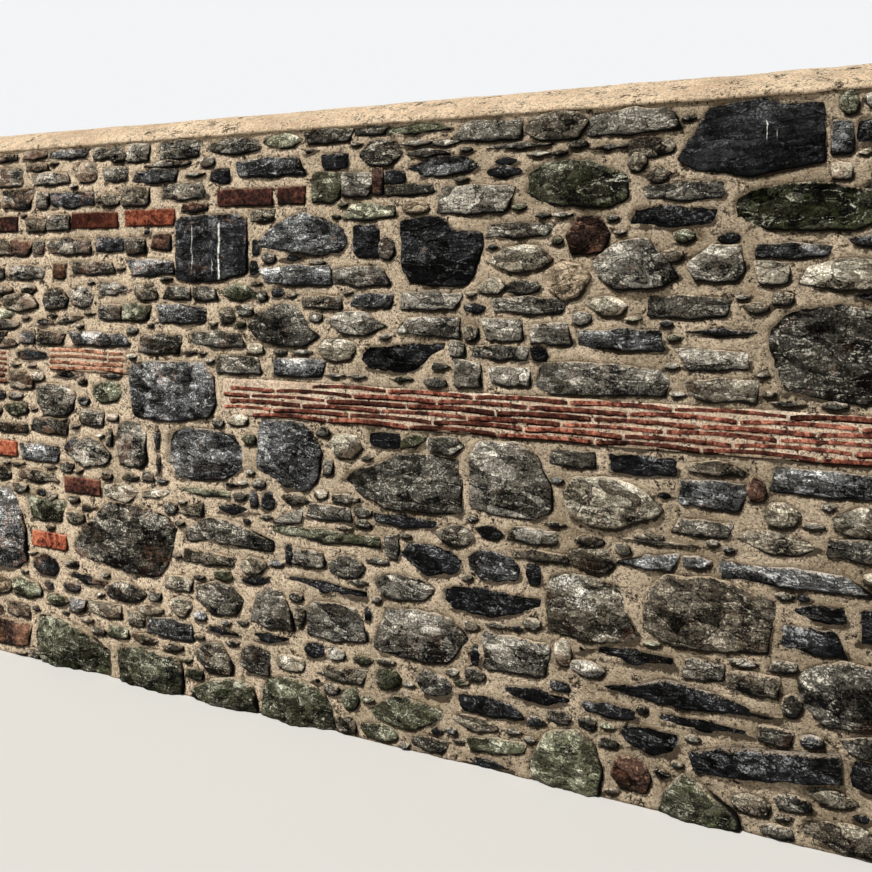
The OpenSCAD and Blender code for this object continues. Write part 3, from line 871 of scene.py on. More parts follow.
@dataclass(frozen=True)
class ClayFinish:
    """Burnt clay, for the tiles and the odd bricks."""

    name: str
    slot: str
    body: Colour
    burnt: Colour
    bright: Colour
    dust: Colour = tone(190, 150, 122)
    smear: float = 0.5

    def build(self) -> bpy.types.Material:
        """Makes the material, which reads tint, rim, lift and worn from the mesh.

        Returns:
            The material.
        """
        s = Sheet(bpy.data.materials.new(self.name))
        place, tint, rim, lift = s.place(), s.own("tint"), s.own("rim"), s.own("lift")
        worn = s.own("worn")
        broad = s.noise(place, 15.0, 4.0, 0.6) - 0.5
        middling = s.noise(place, 60.0, 6.0, 0.7, 0.5) - 0.5
        fine = s.noise(place, 190.0, 5.0, 0.8) - 0.5
        body = broad * 0.7 + middling * 1.1 + fine * 1.0 + tint * 0.05 + worn * 0.05
        colour = body.eased(-0.12, 0.06).pick(self.burnt, self.body)
        colour = body.eased(0.06, 0.22).pick(colour, self.bright)
        pits = (fine * 1.2 + middling * 1.0 + broad * 0.4 + worn * 0.06).eased(-0.2, -0.1)
        colour = pits.pick(dimmed(self.burnt, 0.2), colour)
        colour = colour.scaled(1 + tint * 0.35)
        dusty = (rim * 0.6 + fine * 2 + broad + lift * 0.5).eased(0.4, 0.8) * self.smear
        colour = dusty.pick(colour, self.dust)
        # Painted shade along each tile's lower lip and lower side
        shaded = (fine - lift).eased(0.3, 0.7) * 0.95
        colour = shaded.pick(colour, dimmed(self.burnt, 0.25))
        return s.surface(colour, 0.85, middling * 0.6 + fine * 0.4, 0.006)


Finish = StoneFinish | MortarFinish | ClayFinish


class Kind(Enum):
    """The kinds of stone in the wall, each with its finish."""

    BLACK = StoneFinish("black_slate", "dark_slate", tone(9, 9, 10), tone(28, 28, 29),
                        tone(176, 176, 174), 0.6, 0.36, smear=0.4, rough=0.66)
    BLUE = StoneFinish("blue_slate", "dark_slate", tone(26, 26, 26), tone(90, 90, 88),
                       tone(204, 202, 196), 0.5, 0.85, smear=0.5, rough=0.7)
    DARK = StoneFinish("dark_stone", "grey_stone", tone(23, 22, 19), tone(86, 82, 73),
                       tone(202, 195, 178), 0.35, 0.85, rust=0.12, smear=0.6)
    GREY = StoneFinish("grey_stone", "grey_stone", tone(44, 42, 38), tone(126, 120, 108),
                       tone(218, 211, 195), 0.4, 0.9, rust=0.15, smear=0.65)
    PALE = StoneFinish("pale_stone", "pale_stone", tone(66, 61, 51), tone(142, 133, 115),
                       tone(230, 222, 204), 0.3, 0.85, rust=0.3, smear=0.6)
    TAN = StoneFinish("tan_stone", "pale_stone", tone(104, 90, 71), tone(176, 156, 129),
                      tone(228, 211, 184), 0.25, 0.6, rust=0.25, smear=0.6)
    BROWN = StoneFinish("brown_stone", "brown_stone", tone(35, 31, 26), tone(104, 96, 82),
                        tone(200, 188, 166), 0.35, 0.85, rust=0.12, smear=0.65)
    RUSTY = StoneFinish("rusty_stone", "brown_stone", tone(24, 18, 15), tone(70, 51, 42),
                        tone(156, 118, 96), 0.3, 0.6, rust=0.3, smear=0.45)
    MOSSY = StoneFinish("mossy_stone", "mossy_stone", tone(28, 28, 22), tone(98, 96, 78),
                        tone(206, 204, 180), 0.3, 0.9, moss=0.38, smear=0.5)

    @property
    def finish(self) -> StoneFinish:
        """The finish of this kind."""
        return self.value


BLACK, BLUE, DARK, GREY, PALE, TAN, BROWN, RUSTY, MOSSY = Kind

WALL_MORTAR = MortarFinish("wall_mortar", "wall_mortar", tone(246, 221, 189),
                           tone(202, 182, 152), tone(150, 126, 98))
CAP_MORTAR = MortarFinish("cap_mortar", "cap_mortar", tone(255, 228, 192), tone(244, 214, 178),
                          tone(188, 156, 124), grit=0.3, weathered=0.2, drift=False, bump=0.008,
                          coarse=3.2)
TILE_MORTAR = MortarFinish("tile_mortar", "tile_mortar", tone(248, 226, 198),
                           tone(226, 196, 166), tone(156, 122, 96), grit=0.4, drift=False,
                           bump=0.007)
PALE_TILE_MORTAR = MortarFinish("pale_tile_mortar", "tile_mortar", tone(246, 220, 190),
                                tone(222, 191, 160), tone(160, 128, 102), grit=0.3, drift=False,
                                bump=0.007)
CLAY_TILE = ClayFinish("clay_tile", "clay_tile", tone(108, 59, 45), tone(60, 33, 26),
                       tone(172, 114, 92), smear=0.4)
PALE_TILE = ClayFinish("pale_tile", "clay_tile", tone(146, 98, 74), tone(86, 54, 40),
                       tone(196, 150, 122), smear=0.5)
RED_BRICK = ClayFinish("red_brick", "red_brick", tone(146, 78, 54), tone(90, 44, 32),
                       tone(180, 112, 84), smear=0.4)
DARK_BRICK = ClayFinish("dark_brick", "dark_brick", tone(70, 40, 32), tone(32, 21, 18),
                        tone(110, 72, 56), smear=0.3)


class Paints:
    """The materials, each made once."""

    def __init__(self) -> None:
        """Starts with none made."""
        self.made: dict[str, bpy.types.Material] = {}

    def of(self, finish: Finish) -> bpy.types.Material:
        """Gives a finish's material.

        Args:
            finish: The finish.

        Returns:
            The material, which is made on its first use.
        """
        if finish.name not in self.made:
            self.made[finish.name] = finish.build()
        return self.made[finish.name]


PAINTS = Paints()


class Bench:
    """The mesh of one piece while it is being made."""

    # What each vertex tells the finishes: its stone's tint, its nearness to the rim, that nearness
    # signed by the side towards the light for the painted light and shade at the rim, how near and
    # how close below a stone it is, which the mortar's painted shadow reads, and how far it stands
    # out, which on a stone is also raised on the side towards the light as painted light
    OWN = ("tint", "rim", "lift", "seam", "under", "worn")

    def __init__(self, name: str) -> None:
        """Starts an empty piece.

        Args:
            name: Name of the piece.
        """
        self.name = name
        self.bm = bmesh.new()
        self.part = bpy.data.meshes.new(name + "_part")
        for key in self.OWN:
            self.bm.verts.layers.float.new(key)

    def grid(self, counts: tuple[int, int]) -> tuple[bmesh.types.BMesh, np.ndarray]:
        """Starts a block with a flat grid.

        Args:
            counts: Cells along and up.

        Returns:
            The block's own mesh, and its vertices' spots in the square from -1 to 1.
        """
        bm = bmesh.new()
        for key in self.OWN:
            bm.verts.layers.float.new(key)
        bmesh.ops.create_grid(bm, x_segments=counts[0], y_segments=counts[1], size=1)
        return bm, np.array([v.co.xy[:] for v in bm.verts])

    def write(self, bm: bmesh.types.BMesh, places: np.ndarray,
              values: dict[str, np.ndarray | float]) -> None:
        """Moves a block's vertices and gives them their own values.

        Args:
            bm: The block's own mesh.
            places: One row of X, Y and Z per vertex.
            values: Numbers by the name of the value.
        """
        for vert, place in zip(bm.verts, places.tolist()):
            vert.co = place
        for key, value in values.items():
            layer = bm.verts.layers.float[key]
            for vert, number in zip(bm.verts, np.broadcast_to(value, len(places)).tolist()):
                vert[layer] = number

    def join(self, bm: bmesh.types.BMesh) -> None:
        """Joins a finished block to the piece.

        Args:
            bm: The block's own mesh, which is freed.
        """
        bmesh.ops.recalc_face_normals(bm, faces=bm.faces)
        bm.to_mesh(self.part)
        bm.free()
        self.bm.from_mesh(self.part)

    def plate(self, counts: tuple[int, int], reach: float, depth: float,
              shape: Callable[[np.ndarray], tuple[np.ndarray, np.ndarray, dict]]) -> None:
        """Adds a closed block whose front is a carved sheet.

        Args:
            counts: Cells along and up.
            reach: How far out the side lies.
            depth: How far the block runs back from there.
            shape: Takes spots of the square and gives spots on the side, heights above it and
                each vertex's own values.
        """
        bm, square = self.grid(counts)
        spots, height, values = shape(square)
        self.write(bm, np.column_stack([spots[:, 0], -reach - height, spots[:, 1]]), values)
        bmesh.ops.extrude_edge_only(bm, edges=[e for e in bm.edges if e.is_boundary])
        back = [e for e in bm.edges if e.is_boundary]
        for edge in back:
            for vert in edge.verts:
                vert.co.y = -reach + depth
        bmesh.ops.edgeloop_fill(bm, edges=back)
        self.join(bm)

    def tube(self, counts: tuple[int, int],
             shape: Callable[[np.ndarray], tuple[np.ndarray, dict]]) -> None:
        """Adds a closed bar.

        Args:
            counts: Cells along and round.
            shape: Takes spots of the square, whose second part goes round, and gives places and
                each vertex's own values.
        """
        bm, square = self.grid(counts)
        places, values = shape(square)
        self.write(bm, places, values)
        bmesh.ops.remove_doubles(bm, verts=bm.verts, dist=1e-6)
        bmesh.ops.edgeloop_fill(bm, edges=[e for e in bm.edges if e.is_boundary])
        self.join(bm)

    def finish(self, dress: Finish, stands_for: str, side: Side = Side.FRONT) -> None:
        """Makes the piece an object of the wall.

        Args:
            dress: Its finish.
            stands_for: CAD node that it replaces.
            side: The side it is turned to.
        """
        if side.turn:
            bmesh.ops.rotate(self.bm, verts=self.bm.verts, cent=(0, 0, 0),
                             matrix=Matrix.Rotation(side.turn, 3, "Z"))
        for vert in self.bm.verts:
            x, y, z = vert.co
            vert.co = (max(-HALF_LENGTH, min(HALF_LENGTH, x)), max(-MOST_OUT, min(MOST_OUT, y)),
                       max(0.0, z))
        for face in self.bm.faces:
            face.smooth = True
        mesh = bpy.data.meshes.new(self.name)
        self.bm.to_mesh(mesh)
        self.bm.free()
        bpy.data.meshes.remove(self.part)
        mesh.materials.append(PAINTS.of(dress))
        piece = bpy.data.objects.new(self.name, mesh)
        bpy.context.scene.collection.objects.link(piece)
        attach(piece, "root")
        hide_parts(stands_for)
        mesh.calc_loop_triangles()
        log.info("%s: %d triangles", self.name, len(mesh.loop_triangles))


def mortar_level(spots: np.ndarray) -> np.ndarray:
    """Height of the pointing above the face, which is never quite flat."""
    places = on_face(spots, 40.0)
    return RELIEF.at(places, 0.12, 2) * 0.004 + RELIEF.at(places, 0.035, 3) * 0.003


@dataclass
class Stone:
    """One stone of a side."""

    outline: Outline
    cut: Cut
    kind: Kind
    seed: int
    proud: float = 0.006
    ground: float = 0.0
    cell: float = LARGE_CELL
    tint: float | None = None
    # How far the rim is sunk and how wide its smear and painted light and shade reach, how far the
    # front goes over and under its level, and the way to the light that the painted light and shade
    # follow
    SUNK = 0.012
    RIM_REACH = 0.0056
    MOST_OVER, MOST_UNDER = 0.008, 0.03
    LIGHT = (-0.6, 1.4)

    def split(self, height: np.ndarray, off: np.ndarray, size: float) -> np.ndarray:
        """Splits flat facets off round the front.

        Args:
            height: Height of the front so far.
            off: Places from the stone's middle.
            size: Half of its lesser width.

        Returns:
            The new heights.
        """
        rng = np.random.default_rng(self.seed)
        planes = self.cut.facets + (2 if size > 0.07 and self.cut.facets else 0)
        for angle in np.arange(planes) * 2 * math.pi / max(planes, 1) + rng.uniform(0, 6.28):
            angle += rng.uniform(-0.6, 0.6)
            way = np.array([math.cos(angle), math.sin(angle)])
            reach = 1 / np.linalg.norm(way / self.outline.half)
            start = rng.uniform(0.05, 0.75) * reach
            fall = rng.uniform(0.25, 1.0) * self.cut.slope * (off @ way - start)
            height = np.minimum(height, self.proud + self.cut.dome - fall)
        return height

    def heights(self, spots: np.ndarray) -> tuple[np.ndarray, dict[str, np.ndarray]]:
        """Carves the front.

        Args:
            spots: Places on the side.

        Returns:
            Height above the side, and each vertex's nearness to the rim, that nearness signed by
            the side towards the light for the rim's painted light and shade, and how far it stands
            out or lies in a hollow, raised on the side towards the light as painted light.
        """
        cut, layer = self.cut, self.seed * 0.37
        off = spots - self.outline.middle
        depth = self.outline.depth(spots)
        size = float(min(self.outline.half))
        scale = min(1.0, size / 0.05)
        height = self.proud + cut.dome * (1 - self.outline.level(spots) ** 2)
        height = np.maximum(self.split(height, off, size), self.proud - 0.4 * size)
        places = on_face(spots, layer)
        coarse, fine = RELIEF.at(places, 0.045, 3), RELIEF.at(places, 0.013, 3)
        height += cut.rough * (coarse * (0.7 + 0.9 * scale) + fine * 0.55)
        worn = 0.5 * coarse + 0.7 * fine
        if cut.layers:
            beds = RELIEF.at(on_face(spots, layer + 9, 4.0), 0.018, 3)
            steps = np.round(RELIEF.at(on_face(spots, layer + 5, 1.8), 0.05, 2) * 3) / 3
            height += cut.layers * (beds + 1.2 * steps)
            worn += 0.4 * beds + 0.25 * steps
        height = np.clip(height, self.proud - self.MOST_UNDER, self.proud + self.MOST_OVER)
        turn = np.clip(depth / min(cut.rim, 0.8 * size), 0, 1)
        rise = np.sqrt(1 - (1 - turn) ** 2)
        height = (height + self.SUNK) * rise - self.SUNK + self.ground
        near = np.exp(-np.maximum(depth, 0) / self.RIM_REACH)
        # The side towards the light: the signed rim nearness carries the rim's painted highlight
        # and painted shade, and the relief value is raised on that side, which paints the stone
        # lighter there
        lit = np.clip(off / self.outline.half @ np.array(self.LIGHT), -1, 1)
        return height, {"rim": near, "lift": near * lit, "worn": np.clip(worn + 0.45 * lit, -1, 1)}

    def build(self, bench: Bench, reach: float, depth: float = SMALL_DEEP) -> None:
        """Adds the stone to a piece's mesh.

        Args:
            bench: The mesh.
            reach: How far out the side lies.
            depth: How far the stone runs back.
        """
        rng = np.random.default_rng(self.seed + 1)
        half = self.outline.half
        counts = tuple(int(max(6, round(2 * h / self.cell) + 4)) for h in half)
        tint = rng.uniform(-1, 1) if self.tint is None else self.tint

        def shape(square: np.ndarray) -> tuple[np.ndarray, np.ndarray, dict]:
            """Carves the front of this stone.

            Args:
                square: Spots of the square.

            Returns:
                Spots on the side, heights above it and own values.
            """
            spread = square.copy()
            for axis in (0, 1):
                inner = 1 - 6 / counts[axis]
                edge = min(1 - inner, 1.3 * min(self.cut.rim, 0.5 * half[axis]) / half[axis])
                if inner > 0.05:
                    spread[:, axis] = np.interp(square[:, axis], [-1, -inner, inner, 1],
                                                [-1, -1 + edge, 1 - edge, 1])
            spots = self.outline.place(spread)
            height, own = self.heights(spots)
            return spots, height, {"tint": tint, **own}

        bench.plate(counts, reach, depth, shape)


def merged(node: str) -> bmesh.types.BMesh:
    """A copy of a CAD node's mesh whose triangles share their corners.

    Args:
        node: Name of the node.

    Returns:
        The mesh, to be freed after use.
    """
    bm = bmesh.new()
    bm.from_mesh(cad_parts[node].data)
    bmesh.ops.remove_doubles(bm, verts=bm.verts, dist=1e-5)
    return bm


def corners_of(node: str, out: float = HALF_THICKNESS - STONE_BED) -> list[np.ndarray]:
    """Outlines of what a CAD node has on one plane of the seen side.

    Args:
        node: Name of the node.
        out: How far before the middle of the wall that plane lies. The large stones' beds end at
            the one that is taken when none is given.

    Returns:
        One array of corners along the wall and up, in metres, for each patch of the plane, from
        the left.
    """
    bm = merged(node)
    flat = {f for f in bm.faces if all(abs(v.co.y + out) < 1e-4 for v in f.verts)}
    # Keys of a dict keep the mesh's order, as a set would not, so each run walks the same way
    edges = dict.fromkeys(e for e in bm.edges if sum(f in flat for f in e.link_faces) == 1)
    found = []
    while edges:
        first, vert = edges.popitem()[0].verts
        loop = [first, vert]
        while vert != first:
            edge = next(e for e in vert.link_edges if e in edges)
            del edges[edge]
            vert = edge.other_vert(vert)
            loop.append(vert)
        found.append(np.array([(v.co.x, v.co.z) for v in loop[:-1]]))
    bm.free()
    return sorted(found, key=lambda corners: corners.round(4).min(axis=0).tolist())


def boxes_of(node: str) -> list[tuple[Vector, Vector]]:
    """The box of each solid of a CAD node.

    Args:
        node: Name of the node.

    Returns:
        Lowest and highest corners, from the lowest course up and from the left.
    """
    bm = merged(node)
    left, found = set(bm.verts), []
    while left:
        open_ends, island = [left.pop()], []
        while open_ends:
            vert = open_ends.pop()
            island.append(vert.co.copy())
            for edge in vert.link_edges:
                other = edge.other_vert(vert)
                if other in left:
                    left.discard(other)
                    open_ends.append(other)
        found.append((Vector(map(min, *island)), Vector(map(max, *island))))
    bm.free()
    return sorted(found, key=lambda box: (round(box[0].z, 3), box[0].x))


@dataclass(frozen=True)
class Named:
    """A large stone that is a CAD node, or several that share one, with its shade of its kind."""

    node: str
    kind: Kind
    cut: Cut
    proud: float = 0.008
    shade: float | tuple[float, ...] = 0.0
    finish: StoneFinish | None = None


SPLIT = Cut(7.0, 0.0045, 0.0010, 5, 0.13, 0.0016, 0.0046)
FLAT_SPLIT = Cut(7.0, 0.004, 0.0005, 3, 0.03, 0.0016, 0.0030)
CRAGGY = Cut(4.0, 0.006, 0.0050, 7, 0.32, 0.0020, 0.0064)
ROUNDED = Cut(3.0, 0.012, 0.0080, 4, 0.18, 0.0008, 0.0042)
LAYERED = Cut(4.0, 0.004, 0.0020, 3, 0.16, 0.0044, 0.0036)

VEINED = StoneFinish("veined_slate", "dark_slate", tone(20, 20, 21), tone(52, 52, 53),
                     tone(150, 150, 150), 0.25, 0.6, smear=0.4,
                     veins=(Vein(-0.447, 1.36, 1.56, 0.005), Vein(-0.555, 1.39, 1.55, 0.0022),
                            Vein(-0.475, 1.38, 1.44, 0.0015)))
FLAGSTONE = StoneFinish("flagstone_slate", "dark_slate", tone(20, 20, 21), tone(40, 40, 41),
                        tone(120, 120, 120), 0.2, 0.4, smear=0.35, rough=0.7,
                        veins=(Vein(1.205, 1.715, 1.775, 0.0015), Vein(1.228, 1.72, 1.75, 0.001)))
PALE_TOPPED = replace(PALE.finish, name="pale_topped", veins=(
    Vein(0.68, 0.53, 0.59, 0.07, 0.3), Vein(0.75, 0.49, 0.56, 0.05, 0.34)))

NAMED_STONES = (
    Named("slate_flagstone", BLACK, FLAT_SPLIT, 0.007, 0.0, FLAGSTONE),
    Named("veined_block", BLUE, FLAT_SPLIT, 0.007, -0.75, VEINED),
    Named("black_block", BLACK, SPLIT, 0.007, -1.75),
    Named("right_boulder", DARK, CRAGGY, 0.011, -1.3),
    Named("mossy_upper_stone", MOSSY, CRAGGY, 0.011, -1.7),
    Named("long_mossy_stone", MOSSY, CRAGGY, 0.011, -2.22),
    Named("rough_knob_stone", GREY, CRAGGY, 0.017, -0.7),
    Named("layered_grey_stone", BLUE, LAYERED, 0.007, -0.3),
    Named("leaning_dark_stone", DARK, SPLIT, 0.008, -1.1),
    Named("black_lens_stone", BLACK, LAYERED, -0.005, -2.3),
    Named("long_grey_stone", GREY, LAYERED, 0.008, -0.6),
    Named("band_end_block", BLUE, SPLIT, 0.011, -0.5),
    Named("broad_dark_stone", BLUE, CRAGGY, 0.008, 0.0),
    Named("five_sided_stone", BLUE, CRAGGY, 0.012, -0.7),
    Named("faceted_block", DARK, CRAGGY, 0.014, -0.8),
    Named("square_grey_block", GREY, SPLIT, 0.008, -0.5),
    Named("pale_boulder", PALE, ROUNDED, 0.014, 0.25),
    Named("left_edge_boulder", BLUE, CRAGGY, 0.011, 1.0),
    Named("big_rubble_block", DARK, CRAGGY, 0.013, -0.8),
    Named("curved_slab", DARK, LAYERED, 0.008, -0.2),
    Named("great_lower_block", BROWN, SPLIT, 0.011, -0.8),
    Named("pale_topped_stone", PALE, CRAGGY, 0.011, -1.1, PALE_TOPPED),
    Named("round_lower_boulder", DARK, ROUNDED, 0.010, -0.4),
    Named("grey_lower_block", GREY, SPLIT, 0.008, -0.4),
    Named("black_hollow_slab", BLACK, LAYERED, -0.003, -1.0),
    Named("long_black_wedge", BLACK, LAYERED, 0.009, 0.4),
    Named("long_foot_slab", BLACK, LAYERED, 0.017, -0.3),
    Named("lesser_stones", GREY, SPLIT, 0.007, (0.0, 0.7, -0.2, -0.5, -1.1, 1.2)),
    Named("left_foot_stones", MOSSY, CRAGGY, 0.018, (-0.4, -1.3, -1.5, -1.3)),
    Named("right_foot_stones", MOSSY, CRAGGY, 0.018, (-1.1, 1.3, -1.1, 0.0)),
    Named("left_run_stones", DARK, SPLIT),
    Named("right_run_stones", GREY, SPLIT),
)

